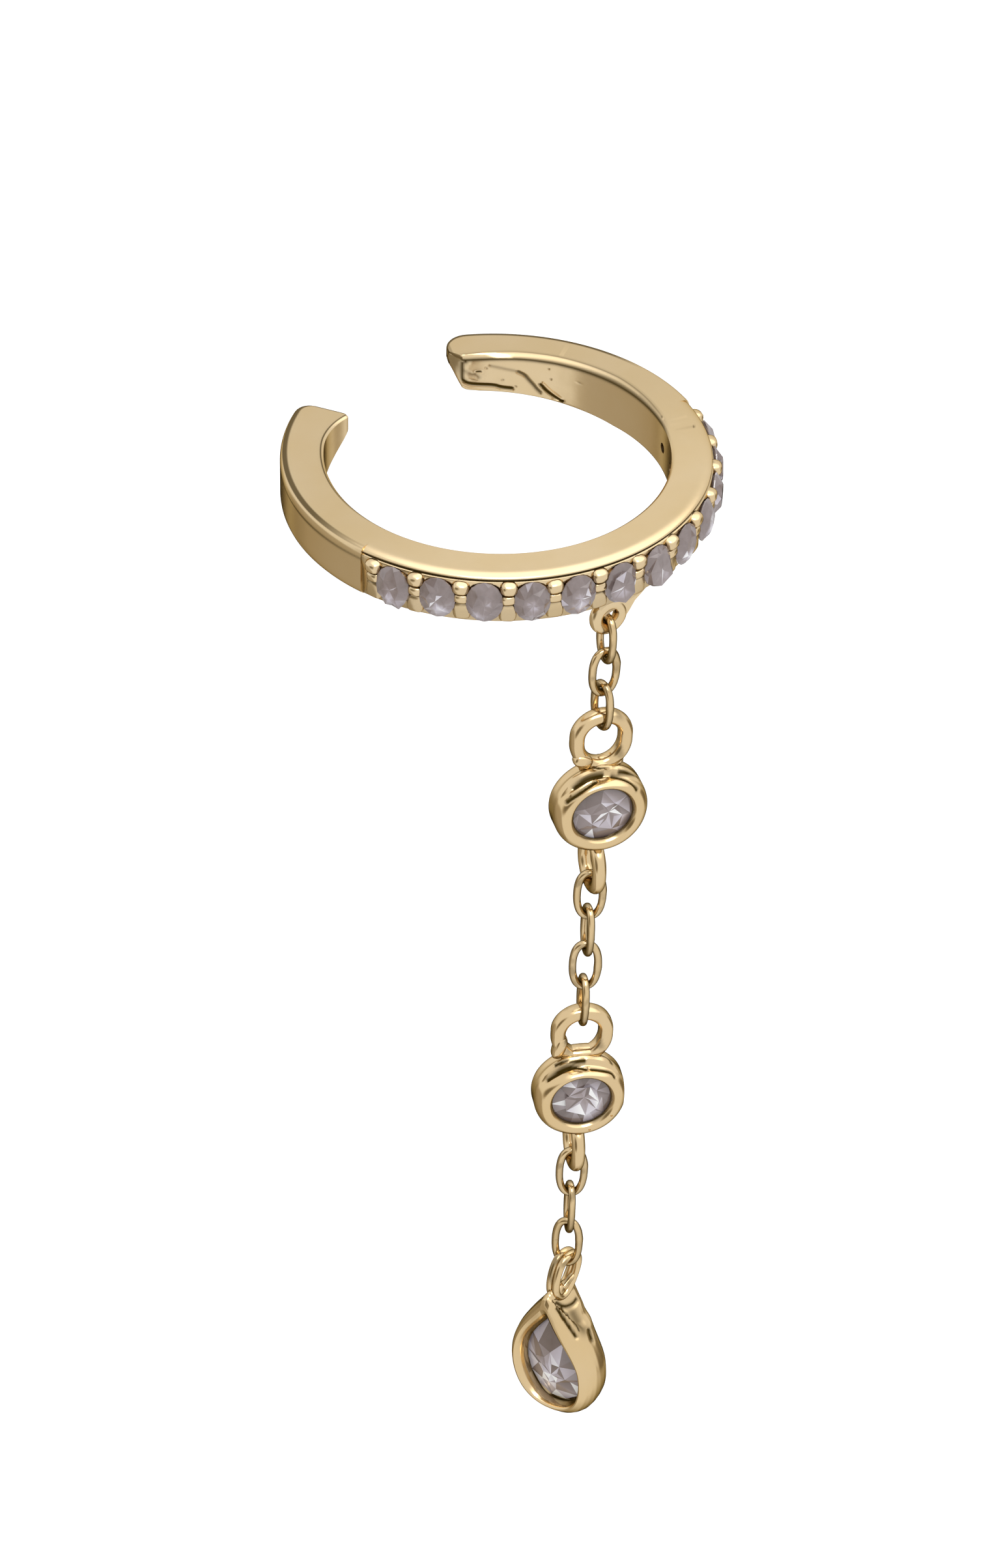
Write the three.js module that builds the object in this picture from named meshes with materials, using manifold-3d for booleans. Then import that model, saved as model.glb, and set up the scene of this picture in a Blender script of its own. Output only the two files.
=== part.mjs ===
// Ear cuff: an open ring set with a row of small round stones, and a drop of fine chain with
// two round set stones and a pear-shaped set stone at its end.
// Millimetres. The origin is the middle of the open ring at half its height, +Z is up along the
// ring's axis, -Y points through the middle of the stone row and +Y out through the open side.
import * as THREE from 'three';
import { mergeVertices } from 'three/addons/utils/BufferGeometryUtils.js';
import Module from 'manifold-3d';

const wasm = await Module();
wasm.setup();

const rad = THREE.MathUtils.degToRad;

// ring
const ringInnerRadius = 5.3;
const ringWall = 1.2;
const ringFaceRadius = ringInnerRadius + ringWall;
const ringBulge = 0.13;
const ringHeight = 1.7;
const ringEdgeDrop = 0.28;
const ringInnerBevel = 0.09;
const ringSteps = 72;
const leftTipAngle = 119.5;
const backTipAngle = 66.2;
const leftTipRound = 0.42;
const backTipRound = 0.78;
const tipInnerRound = 0.14;
const leftTipFlare = 0.3;
const leftTipFlareLength = 2.3;
// how far the underside rises towards each tip: distance from the tip and rise, as shares of the height
const leftTipRise = [[0, 0.68], [0.06, 0.54], [0.18, 0.36], [0.36, 0.19], [0.58, 0.07], [0.85, 0]];
const backTipRise = [[0, 0.5], [0.07, 0.38], [0.18, 0.3], [0.36, 0.24], [0.65, 0.19], [1.9, 0.12], [3, 0.05], [3.9, 0]];

// row of small stones in the ring
const rowStones = 12;
const rowMiddleAngle = -90;
const rowEndMargin = 3.4;
const rowLipProud = 0.05;
const rowLipHeight = 0.15;
const rowFloorDepth = 0.01;
const rowLipRadius = ringFaceRadius + rowLipProud;
const rowFloorRadius = ringFaceRadius - rowFloorDepth;
const rowStoneDiameter = 1.24;
const rowStoneGap = 0.175;
const rowStoneProud = 0.42;
const rowStoneCrown = 0.25;
const rowStonePavilion = 0.48;
const seatClearance = 0.045;
const seatSides = 14;
const backHoleDiameter = 0.5;
const beadDiameter = 0.38;
const beadInset = 0.33;
const beadProud = 0.28;

// loop soldered under the ring, a little off the middle of the row
const ringLoopTurn = -6.5;
const ringLoopInset = 0.35;
const ringLoopRadius = ringFaceRadius - ringLoopInset;
const ringLoopDrop = 0.66;
const ringLoopOuter = 1.24;
const ringLoopWire = 0.38;
const solderLength = 1.2;
const solderDepth = 0.62;
const solderThickness = 0.36;

// chain
const linkWire = 0.25;
const linkWidth = 1.05;
const upperLinkLength = 1.79;
const middleLinkLength = 1.96;
const lowerLinkLength = 2.07;
const linkSides = 14;
const wireSides = 6;
const hangClearance = 0.03;
const chainLean = 1.5;
const chainLeanHeading = -40;

// round settings
const roundSettingDiameter = 3.0;
const roundSettingDepth = 1.2;
const roundSettingForward = 0.3;
const roundSettingEdge = 0.2;
const roundOpeningDiameter = 1.9;
const roundLipDepth = 0.16;
const roundStoneDiameter = 2.02;
const roundStoneCrown = 0.3;
const roundStoneGirdle = 0.05;
const roundStonePavilion = 0.62;
const roundBackHole = 0.9;
const stoneClearance = 0.05;
const roundSides = 26;
const settingLoopOuter = 1.95;
const settingLoopLength = 2.1;
const settingLoopWire = 0.44;
const settingLoopSides = 18;
const upperLoopSink = 0.12;
const lowerLoopSink = 0.25;

// pear setting
const pearWidth = 2.95;
const pearBelow = 1.8;
const pearAbove = 3.3;
const pearDepth = 1.66;
const pearForward = 0.26;
const pearEdge = 0.2;
const pearRim = 0.48;
const pearRimSlope = 0.26;
const pearTipRim = 2.6;
const pearLipDepth = 0.18;
const pearStoneLap = 0.05;
const pearStoneCrown = 0.34;
const pearStoneGirdle = 0.06;
const pearStonePavilion = 0.6;
const pearBackShare = 0.5;
const pearTableShare = 0.6;
const pearCuletShare = 0.16;
const pearLoopWidth = 1.65;
const pearLoopWire = 0.36;
const pearLoopSink = 0.3;
const pearLoopSides = 16;

// turn of each hanging piece about the vertical, in degrees
const turns = {
  link_a1: 78,
  link_a2: -15,
  link_a3: 85,
  round_setting_1: -23,
  link_b1: -40,
  link_b2: 65,
  link_b3: -40,
  link_b4: 62,
  round_setting_2: -29,
  link_c1: -40,
  link_c2: 60,
  link_c3: -55,
  pear_setting: -80,
};

const gold = new THREE.MeshStandardMaterial({ color: 0xd9b36a, roughness: 0.3, metalness: 1 });
const crystal = new THREE.MeshStandardMaterial({ color: 0xcfc6d0, roughness: 0.05, metalness: 0 });

// bare triangles with shared corners, faces pointing out
function bare(geometry) {
  const plain = new THREE.BufferGeometry();
  plain.setAttribute('position', geometry.getAttribute('position').clone());
  if (geometry.index) plain.setIndex(geometry.index.clone());
  const merged = mergeVertices(plain, 1e-4);
  const place = merged.getAttribute('position');
  const corners = Array.from(merged.index.array);
  const kept = [];
  let volume = 0;
  const a = new THREE.Vector3();
  const b = new THREE.Vector3();
  const c = new THREE.Vector3();
  for (let i = 0; i < corners.length; i += 3) {
    const [p, q, r] = corners.slice(i, i + 3);
    if (p === q || q === r || r === p) continue;
    kept.push(p, q, r);
    a.fromBufferAttribute(place, p);
    b.fromBufferAttribute(place, q);
    c.fromBufferAttribute(place, r);
    volume += a.dot(b.cross(c));
  }
  if (volume < 0) kept.reverse();
  merged.setIndex(kept);
  return merged;
}

function solid(geometry) {
  const body = bare(geometry);
  return new wasm.Manifold(new wasm.Mesh({
    numProp: 3,
    vertProperties: new Float32Array(body.getAttribute('position').array),
    triVerts: new Uint32Array(body.index.array),
  }));
}

function geometryOf(body) {
  const mesh = body.getMesh();
  const geometry = new THREE.BufferGeometry();
  geometry.setAttribute('position', new THREE.BufferAttribute(new Float32Array(mesh.vertProperties), 3));
  geometry.setIndex(Array.from(mesh.triVerts));
  return geometry;
}

function piece(name, geometry, material) {
  const mesh = new THREE.Mesh(geometry, material);
  mesh.name = name;
  return mesh;
}

function turned(geometry, x, y, z) {
  return geometry.clone().rotateX(x).rotateY(y).rotateZ(z);
}

// a closed wire loop standing in the XZ plane, stretched straight between its two bends
function wireLoop(width, length, wire, sides, around) {
  const loop = new THREE.TorusGeometry((width - wire) / 2, wire / 2, around, sides);
  const straight = (length - width) / 2;
  const place = loop.getAttribute('position');
  for (let i = 0; i < place.count; i += 1) {
    const turn = Math.atan2(place.getY(i), place.getX(i));
    const up = Math.sin(turn);
    if (Math.abs(up) > 1e-3) place.setY(i, place.getY(i) + Math.sign(up) * straight);
  }
  return loop.rotateX(Math.PI / 2);
}

// rings of points, each one closed, joined in order into one closed body
function joinRings(rings, closed) {
  const count = rings[0].length;
  const points = [];
  const corners = [];
  rings.forEach((ring) => ring.forEach((p) => points.push(p.x, p.y, p.z)));
  const last = closed ? rings.length : rings.length - 1;
  for (let i = 0; i < last; i += 1) {
    const here = i * count;
    const next = ((i + 1) % rings.length) * count;
    for (let k = 0; k < count; k += 1) {
      const after = (k + 1) % count;
      corners.push(here + k, here + after, next + after);
      corners.push(here + k, next + after, next + k);
    }
  }
  if (!closed) {
    [[0, 1], [rings.length - 1, -1]].forEach(([index, side]) => {
      const middle = points.length / 3;
      const ring = rings[index];
      const centre = ring.reduce((sum, p) => sum.add(p), new THREE.Vector3()).divideScalar(count);
      points.push(centre.x, centre.y, centre.z);
      for (let k = 0; k < count; k += 1) {
        const a = index * count + k;
        const b = index * count + ((k + 1) % count);
        if (side > 0) corners.push(middle, b, a);
        else corners.push(middle, a, b);
      }
    });
  }
  const geometry = new THREE.BufferGeometry();
  geometry.setAttribute('position', new THREE.Float32BufferAttribute(points, 3));
  geometry.setIndex(corners);
  return geometry;
}

// a flat sector of a ring, from one radius and angle to another, between two heights
function sector(fromRadius, toRadius, fromAngle, toAngle, low, high, steps) {
  const shape = new THREE.Shape();
  for (let i = 0; i <= steps; i += 1) {
    const a = rad(fromAngle + ((toAngle - fromAngle) * i) / steps);
    if (i === 0) shape.moveTo(toRadius * Math.cos(a), toRadius * Math.sin(a));
    else shape.lineTo(toRadius * Math.cos(a), toRadius * Math.sin(a));
  }
  for (let i = steps; i >= 0; i -= 1) {
    const a = rad(fromAngle + ((toAngle - fromAngle) * i) / steps);
    shape.lineTo(fromRadius * Math.cos(a), fromRadius * Math.sin(a));
  }
  const body = new THREE.ExtrudeGeometry(shape, { depth: high - low, bevelEnabled: false, curveSegments: 1 });
  return body.translate(0, 0, low);
}

// value at a place in a table of [place, value] rows
function fromTable(table, place) {
  if (place >= table[table.length - 1][0]) return table[table.length - 1][1];
  const i = table.findIndex((row) => row[0] > place);
  const [x0, y0] = table[i - 1];
  const [x1, y1] = table[i];
  return y0 + ((y1 - y0) * (place - x0)) / (x1 - x0);
}

// how much a rounded corner takes off at a distance from the end it rounds
function cornerTrim(round, distance) {
  return distance >= round ? 0 : round - Math.sqrt(round * round - (round - distance) ** 2);
}

// the ring's cross-section at an angle, nearer one of its two tips
function ringSection(angle) {
  const arc = rad(1) * ringFaceRadius;
  const fromBack = (backTipAngle - angle) * arc;
  const fromLeft = (angle + 360 - leftTipAngle) * arc;
  const left = fromLeft < fromBack;
  const t = Math.max(0, Math.min(fromBack, fromLeft));
  const rise = fromTable(left ? leftTipRise : backTipRise, t / ringHeight) * ringHeight;
  const flare = left ? leftTipFlare * Math.max(0, 1 - t / leftTipFlareLength) ** 2 : 0;
  const inner = ringInnerRadius - flare + cornerTrim(tipInnerRound, t);
  const face = ringFaceRadius - cornerTrim(left ? leftTipRound : backTipRound, t);
  const low = -ringHeight / 2 + rise;
  const high = ringHeight / 2;
  const drop = Math.min(ringEdgeDrop, (high - low) * 0.35);
  const bevel = ringInnerBevel;
  const outline = [
    [inner, low + bevel],
    [inner + bevel, low],
    [face, low],
    [face + ringBulge * 0.7, low + drop * 0.4],
    [face + ringBulge, low + drop],
    [face + ringBulge, high - drop],
    [face + ringBulge * 0.7, high - drop * 0.4],
    [face, high],
    [inner + bevel, high],
    [inner, high - bevel],
  ];
  const c = Math.cos(rad(angle));
  const d = Math.sin(rad(angle));
  return outline.map(([r, z]) => new THREE.Vector3(r * c, r * d, z));
}

function ringBody() {
  const open = 360 - (leftTipAngle - backTipAngle);
  const near = [0, 0.03, 0.1, 0.22, 0.4, 0.62, 0.9, 1.25].map((t) => t / (rad(1) * ringFaceRadius));
  const angles = near.map((t) => backTipAngle - t);
  const first = angles[angles.length - 1];
  const last = backTipAngle - open + near[near.length - 1];
  for (let i = 1; i < ringSteps; i += 1) angles.push(first + ((last - first) * i) / ringSteps);
  near.reverse().forEach((t) => angles.push(backTipAngle - open + t));
  return joinRings(angles.map(ringSection), false);
}

const rowGirdleRadius = rowFloorRadius + rowStoneProud - rowStoneCrown;
const rowCuletRadius = rowGirdleRadius - rowStonePavilion;
const rowPitch = 2 * THREE.MathUtils.radToDeg(Math.asin((rowStoneDiameter + rowStoneGap) / 2 / rowGirdleRadius));
const rowHalfAngle = (rowStones * rowPitch) / 2;
const rowStoneAngles = Array.from({ length: rowStones }, (_, i) => rowMiddleAngle - rowHalfAngle + (i + 0.5) * rowPitch);
const rowBeadAngles = Array.from({ length: rowStones + 1 }, (_, i) => rowMiddleAngle - rowHalfAngle + i * rowPitch);

// turned bodies made about +Y are laid along +X, the way out of the ring, then turned to their angle
function outward(geometry, angle, height) {
  return geometry.clone().rotateZ(-Math.PI / 2).translate(0, 0, height).rotateZ(rad(angle));
}

function cutStone(diameter, crown, girdle, pavilion, sides) {
  const r = diameter / 2;
  const profile = [
    new THREE.Vector2(0, -pavilion),
    new THREE.Vector2(r, 0),
    new THREE.Vector2(r, girdle),
    new THREE.Vector2(r * 0.58, crown),
    new THREE.Vector2(0, crown),
  ];
  return new THREE.LatheGeometry(profile, sides);
}

function ringSeat() {
  const wide = rowStoneDiameter / 2 + seatClearance;
  const narrow = backHoleDiameter / 2;
  const profile = [
    new THREE.Vector2(0, ringInnerRadius * 0.9),
    new THREE.Vector2(narrow, ringInnerRadius * 0.9),
    new THREE.Vector2(narrow, rowCuletRadius - seatClearance),
    new THREE.Vector2(wide, rowGirdleRadius - seatClearance),
    new THREE.Vector2(wide, ringFaceRadius * 1.15),
    new THREE.Vector2(0, ringFaceRadius * 1.15),
  ];
  return new THREE.LatheGeometry(profile, seatSides);
}

function ringBead() {
  const r = beadDiameter / 2;
  const top = rowFloorRadius + beadProud + r * 0.5;
  const profile = [
    new THREE.Vector2(0, rowFloorRadius - r),
    new THREE.Vector2(r, rowFloorRadius - r),
    new THREE.Vector2(r, top - r),
    new THREE.Vector2(r * 0.8, top - r * 0.4),
    new THREE.Vector2(r * 0.4, top - r * 0.08),
    new THREE.Vector2(0, top),
  ];
  return new THREE.LatheGeometry(profile, 8);
}

const half = ringHeight / 2;
const ringLoopAngle = rowMiddleAngle + ringLoopTurn;
const ringLoopHeight = -half - ringLoopDrop;

function cuffBand() {
  let band = solid(ringBody());
  const rowEnd = rowHalfAngle + rowEndMargin;
  const from = rowMiddleAngle - rowEnd;
  const to = rowMiddleAngle + rowEnd;
  const far = ringFaceRadius * 1.2;
  band = band.subtract(solid(sector(rowLipRadius, far, from, to, -ringHeight, ringHeight, 42)));
  const lip = half - rowLipHeight;
  band = band.subtract(solid(sector(rowFloorRadius, far, from, to, -ringHeight, lip, 42)));
  rowStoneAngles.forEach((angle) => {
    band = band.subtract(solid(outward(ringSeat(), angle, 0)));
  });
  rowBeadAngles.forEach((angle) => {
    [half - beadInset, beadInset - half].forEach((height) => {
      band = band.add(solid(outward(ringBead(), angle, height)));
    });
  });
  const loop = wireLoop(ringLoopOuter, ringLoopOuter, ringLoopWire, 14, 8);
  const solder = new THREE.Shape([
    new THREE.Vector2(-ringLoopOuter / 2 + ringLoopWire * 0.4, ringLoopDrop + ringLoopWire * 0.5),
    new THREE.Vector2(-ringLoopOuter / 2 + ringLoopWire * 0.6, 0.18),
    new THREE.Vector2(-ringLoopWire * 0.4, ringLoopOuter / 2 - ringLoopWire * 0.6),
    new THREE.Vector2(ringLoopWire * 0.5, ringLoopOuter / 2 - ringLoopWire * 0.7),
    new THREE.Vector2(ringLoopOuter / 2 - ringLoopWire * 0.3, ringLoopDrop - solderDepth),
    new THREE.Vector2(solderLength, ringLoopDrop + ringLoopWire * 0.1),
    new THREE.Vector2(solderLength, ringLoopDrop + ringLoopWire * 0.5),
  ]);
  const plate = new THREE.ExtrudeGeometry(solder, { depth: solderThickness, bevelEnabled: false });
  plate.translate(0, 0, -solderThickness / 2).rotateX(Math.PI / 2);
  [loop, plate].forEach((part) => {
    part.translate(0, -ringLoopRadius, ringLoopHeight).rotateZ(rad(ringLoopAngle - rowMiddleAngle));
    band = band.add(solid(part));
  });
  return geometryOf(band);
}

// a pear outline in the XZ plane, point up, round end down, its widest place at height 0,
// set in from the edge and then drawn to a share of its size
function pearOutline(inset, depth, share = 1) {
  const w = pearWidth / 2 - inset;
  const low = pearBelow - inset;
  const high = pearAbove - inset * pearTipRim;
  const outline = new THREE.Shape();
  outline.moveTo(0, -low);
  outline.bezierCurveTo(w * 0.56, -low, w, -low * 0.56, w, 0);
  outline.bezierCurveTo(w, high * 0.42, w * 0.36, high * 0.76, w * 0.12, high * 0.96);
  outline.quadraticCurveTo(w * 0.05, high, 0, high);
  outline.quadraticCurveTo(-w * 0.05, high, -w * 0.12, high * 0.96);
  outline.bezierCurveTo(-w * 0.36, high * 0.76, -w, high * 0.42, -w, 0);
  outline.bezierCurveTo(-w, -low * 0.56, -w * 0.56, -low, 0, -low);
  const steps = [];
  const counts = [4, 6, 1, 1, 6, 4];
  outline.curves.forEach((curve, i) => {
    for (let k = 0; k < counts[i]; k += 1) steps.push(curve.getPoint(k / counts[i]));
  });
  return steps.map((p) => new THREE.Vector3(p.x * share, depth, p.y * share));
}

// middle of a round setting's loops, above and below the middle of the setting
function loopCentre(sink) {
  return roundSettingDiameter / 2 + settingLoopLength / 2 - sink;
}

function roundSetting(sink) {
  const r = roundSettingDiameter / 2;
  const front = roundSettingDepth / 2;
  const open = roundOpeningDiameter / 2;
  const room = roundStoneDiameter / 2 + stoneClearance;
  const back = roundBackHole / 2;
  const girdle = front - roundLipDepth - stoneClearance - roundStoneGirdle;
  const profile = [
    new THREE.Vector2(back, -front),
    new THREE.Vector2(r - roundSettingEdge, -front),
    new THREE.Vector2(r - roundSettingEdge * 0.3, -front + roundSettingEdge * 0.3),
    new THREE.Vector2(r, -front + roundSettingEdge),
    new THREE.Vector2(r, front - roundSettingEdge),
    new THREE.Vector2(r - roundSettingEdge * 0.3, front - roundSettingEdge * 0.3),
    new THREE.Vector2(r - roundSettingEdge, front),
    new THREE.Vector2(open + 0.1, front),
    new THREE.Vector2(open, front - roundLipDepth * 0.5),
    new THREE.Vector2(open, front - roundLipDepth),
    new THREE.Vector2(room, front - roundLipDepth),
    new THREE.Vector2(room, girdle - stoneClearance),
    new THREE.Vector2(back, girdle - roundStonePavilion - stoneClearance),
    new THREE.Vector2(back, -front),
  ];
  const cup = new THREE.LatheGeometry(profile, roundSides).rotateX(Math.PI);
  cup.translate(0, -roundSettingForward, 0);
  const away = loopCentre(sink);
  const top = wireLoop(settingLoopOuter, settingLoopLength, settingLoopWire, settingLoopSides, 8);
  const bottom = turned(top, 0, 0, Math.PI / 2);
  let body = solid(cup);
  body = body.add(solid(top.translate(0, 0, away)));
  body = body.add(solid(bottom.translate(0, 0, -away)));
  return geometryOf(body);
}

const roundStoneGirdleDepth =
  roundSettingForward + roundSettingDepth / 2 - roundLipDepth - stoneClearance - roundStoneGirdle;

const pearFront = pearForward + pearDepth / 2;
const pearBack = pearForward - pearDepth / 2;
const pearRoom = pearRim - pearStoneLap;
const pearGirdleDepth = pearFront - pearRimSlope - pearLipDepth - stoneClearance - pearStoneGirdle;
const pearLoopCentre = pearAbove + pearLoopWidth / 2 - pearLoopSink;
const pearWireTop = pearLoopCentre + (pearLoopWidth - pearLoopWire) / 2;

function pearSetting() {
  const lip = pearFront - pearRimSlope - pearLipDepth;
  const rings = [
    pearOutline(pearEdge, -pearBack),
    pearOutline(pearEdge * 0.3, -(pearBack + pearEdge * 0.3)),
    pearOutline(0, -(pearBack + pearEdge)),
    pearOutline(0, -(pearFront - pearEdge)),
    pearOutline(pearEdge * 0.3, -(pearFront - pearEdge * 0.3)),
    pearOutline(pearEdge, -pearFront),
    pearOutline(pearRim, -(pearFront - pearRimSlope)),
    pearOutline(pearRim, -lip),
    pearOutline(pearRoom, -lip),
    pearOutline(pearRoom, -(pearGirdleDepth - stoneClearance)),
    pearOutline(pearRoom, -(pearGirdleDepth - pearStonePavilion - stoneClearance), pearBackShare),
    pearOutline(pearRoom, -pearBack, pearBackShare),
  ];
  const loop = turned(wireLoop(pearLoopWidth, pearLoopWidth, pearLoopWire, pearLoopSides, 8), 0, 0, Math.PI / 2);
  const body = solid(joinRings(rings, true)).add(solid(loop.translate(0, 0, pearLoopCentre)));
  return geometryOf(body);
}

function pearStone() {
  const girdleInset = pearRoom + stoneClearance;
  const rings = [
    pearOutline(girdleInset, -(pearGirdleDepth + pearStoneCrown), pearTableShare),
    pearOutline(girdleInset, -(pearGirdleDepth + pearStoneGirdle)),
    pearOutline(girdleInset, -pearGirdleDepth),
    pearOutline(girdleInset, -(pearGirdleDepth - pearStonePavilion), pearCuletShare),
  ];
  return bare(joinRings(rings, false));
}

const cuff = new THREE.Group();
cuff.add(piece('cuff_band', cuffBand(), gold));
const rowStone = cutStone(rowStoneDiameter, rowStoneCrown, 0.04, rowStonePavilion, 8);
rowStoneAngles.forEach((angle, i) => {
  const stone = piece(`row_stone_${String(i + 1).padStart(2, '0')}`, bare(rowStone), crystal);
  const a = rad(angle);
  stone.position.set(rowGirdleRadius * Math.cos(a), rowGirdleRadius * Math.sin(a), 0);
  stone.rotation.set(0, 0, a - Math.PI / 2);
  cuff.add(stone);
});

// the chain hangs from the ring's loop, leaning a little from the ring's axis
const chain = new THREE.Group();
const loopTurn = rad(ringLoopAngle);
chain.position.set(ringLoopRadius * Math.cos(loopTurn), ringLoopRadius * Math.sin(loopTurn), ringLoopHeight);
const leanAxis = new THREE.Vector3(Math.sin(rad(-chainLeanHeading)), Math.cos(rad(chainLeanHeading)), 0);
chain.quaternion.setFromAxisAngle(leanAxis, rad(chainLean));
cuff.add(chain);

// each piece hangs in the one above it: a wire resting in the bend of the wire above
let wireAbove = ringLoopWire;
let bendAbove = -(ringLoopOuter - ringLoopWire) / 2;

function hang(mesh, wire, topWire, bottomWire, bottomSize) {
  const topBend = bendAbove + (wireAbove + wire) / 2 + hangClearance;
  mesh.position.z = topBend - topWire;
  mesh.rotation.z = rad(turns[mesh.name]);
  bendAbove = mesh.position.z - bottomWire;
  wireAbove = bottomSize;
  chain.add(mesh);
  return mesh;
}

function hangLink(name, length) {
  const reach = (length - linkWire) / 2;
  const link = piece(name, bare(wireLoop(linkWidth, length, linkWire, linkSides, wireSides)), gold);
  return hang(link, linkWire, reach, reach, linkWire);
}

function hangRound(name, stoneName, sink) {
  const reach = loopCentre(sink) + (settingLoopLength - settingLoopWire) / 2;
  const setting = hang(piece(name, roundSetting(sink), gold), settingLoopWire, reach, reach, settingLoopWire);
  const cut = cutStone(roundStoneDiameter, roundStoneCrown, roundStoneGirdle, roundStonePavilion, 16);
  const stone = piece(stoneName, bare(cut.rotateX(Math.PI)), crystal);
  const heading = setting.rotation.z;
  stone.position.set(
    Math.sin(heading) * roundStoneGirdleDepth,
    -Math.cos(heading) * roundStoneGirdleDepth,
    setting.position.z,
  );
  stone.rotation.z = heading;
  chain.add(stone);
}

hangLink('link_a1', upperLinkLength);
hangLink('link_a2', upperLinkLength);
hangLink('link_a3', upperLinkLength);
hangRound('round_setting_1', 'round_stone_1', upperLoopSink);
hangLink('link_b1', middleLinkLength);
hangLink('link_b2', middleLinkLength);
hangLink('link_b3', middleLinkLength);
hangLink('link_b4', middleLinkLength);
hangRound('round_setting_2', 'round_stone_2', lowerLoopSink);
hangLink('link_c1', lowerLinkLength);
hangLink('link_c2', lowerLinkLength);
hangLink('link_c3', lowerLinkLength);

// the pear hangs straight down from the last link's lower bend
chain.updateMatrixWorld(true);
const lastBend = chain.localToWorld(new THREE.Vector3(0, 0, bendAbove));
const pear = new THREE.Group();
pear.position.copy(lastBend);
pear.rotation.z = rad(turns.pear_setting);
cuff.add(pear);
const pearHeight = (wireAbove + pearLoopWire) / 2 + hangClearance - pearWireTop;
const pearBody = piece('pear_setting', pearSetting(), gold);
const pearGem = piece('pear_stone', pearStone(), crystal);
pearBody.position.z = pearHeight;
pearGem.position.z = pearHeight;
pear.add(pearBody);
pear.add(pearGem);

export default cuff;
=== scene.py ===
import math
import random

import bmesh
import bpy
from mathutils import Matrix, Vector, noise


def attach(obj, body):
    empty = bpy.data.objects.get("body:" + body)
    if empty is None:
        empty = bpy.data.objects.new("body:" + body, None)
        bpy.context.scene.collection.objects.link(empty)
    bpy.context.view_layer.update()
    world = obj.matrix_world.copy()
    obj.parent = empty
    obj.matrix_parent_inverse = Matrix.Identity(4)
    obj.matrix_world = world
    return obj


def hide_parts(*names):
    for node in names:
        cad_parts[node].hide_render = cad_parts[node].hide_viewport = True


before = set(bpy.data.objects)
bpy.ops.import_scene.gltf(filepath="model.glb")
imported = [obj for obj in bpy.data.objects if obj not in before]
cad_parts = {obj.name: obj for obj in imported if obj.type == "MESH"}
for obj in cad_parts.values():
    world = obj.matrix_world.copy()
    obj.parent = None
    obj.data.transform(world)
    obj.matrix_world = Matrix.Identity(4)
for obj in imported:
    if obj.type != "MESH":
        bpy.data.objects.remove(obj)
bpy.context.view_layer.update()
mm = 0.001
print("stage: frame loaded")


# points on the ring: radius and angle in the ring's plane, height along its axis
def onRing(radius, angle, height):
    turn = math.radians(angle)
    return Vector((radius * math.cos(turn), radius * math.sin(turn), height))


def smoothStep(value, low, high):
    share = min(1.0, max(0.0, (value - low) / (high - low)))
    return share * share * (3 - 2 * share)


# 1 where there is no gap, falling off over the width
def bell(gap, width):
    return math.exp(-((gap / width) ** 2))


# the value at a place, between the rows of a table of (place, value)
def fromTable(table, place):
    if place >= table[-1][0]:
        return table[-1][1]
    for (x0, y0), (x1, y1) in zip(table, table[1:]):
        if place < x1:
            return y0 + (y1 - y0) * (place - x0) / (x1 - x0)
    return table[-1][1]


# rings of points joined in order, into a closed loop or with a cap at each end
def joinRings(rings, closed):
    count = len(rings[0])
    verts = [point for ring in rings for point in ring]
    faces = []
    last = len(rings) if closed else len(rings) - 1
    for i in range(last):
        here = i * count
        after = ((i + 1) % len(rings)) * count
        for k in range(count):
            side = (k + 1) % count
            faces.append((here + k, here + side, after + side, after + k))
    if not closed:
        for ringIndex in (0, len(rings) - 1):
            middle = sum(rings[ringIndex], Vector()) / count
            verts.append(middle)
            for k in range(count):
                faces.append((len(verts) - 1, ringIndex * count + k, ringIndex * count + (k + 1) % count))
    return verts, faces


def moved(part, matrix):
    verts, faces = part
    return [matrix @ Vector(v) for v in verts], faces


def meshOf(name, parts):
    verts = []
    faces = []
    for partVerts, partFaces in parts:
        base = len(verts)
        verts.extend(tuple(v) for v in partVerts)
        faces.extend(tuple(base + i for i in face) for face in partFaces)
    mesh = bpy.data.meshes.new(name)
    mesh.from_pydata(verts, [], faces)
    shape = bmesh.new()
    shape.from_mesh(mesh)
    bmesh.ops.remove_doubles(shape, verts=shape.verts, dist=1e-5)
    bmesh.ops.recalc_face_normals(shape, faces=shape.faces)
    shape.to_mesh(mesh)
    shape.free()
    return mesh


# painted shade: how dark the metal is shaded at each point, read by the gold's shader
def paintShade(mesh, shadeAt):
    layer = mesh.attributes.new("shade", "FLOAT", "POINT")
    layer.data.foreach_set("value", [max(0, min(1, shadeAt(v.co))) for v in mesh.vertices])


# the mesh with the cutters taken out of it, both in millimetres
def cutMesh(name, mesh, cutters):
    body = bpy.data.objects.new(name + "_body", mesh)
    knife = bpy.data.objects.new(name + "_knife", meshOf(name + "_knife", cutters))
    for item in (body, knife):
        bpy.context.scene.collection.objects.link(item)
    cut = body.modifiers.new("cut", "BOOLEAN")
    cut.operation = "DIFFERENCE"
    cut.solver = "EXACT"
    cut.object = knife
    graph = bpy.context.evaluated_depsgraph_get()
    result = bpy.data.meshes.new_from_object(body.evaluated_get(graph))
    for item in (body, knife):
        bpy.data.objects.remove(item)
    return result


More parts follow.
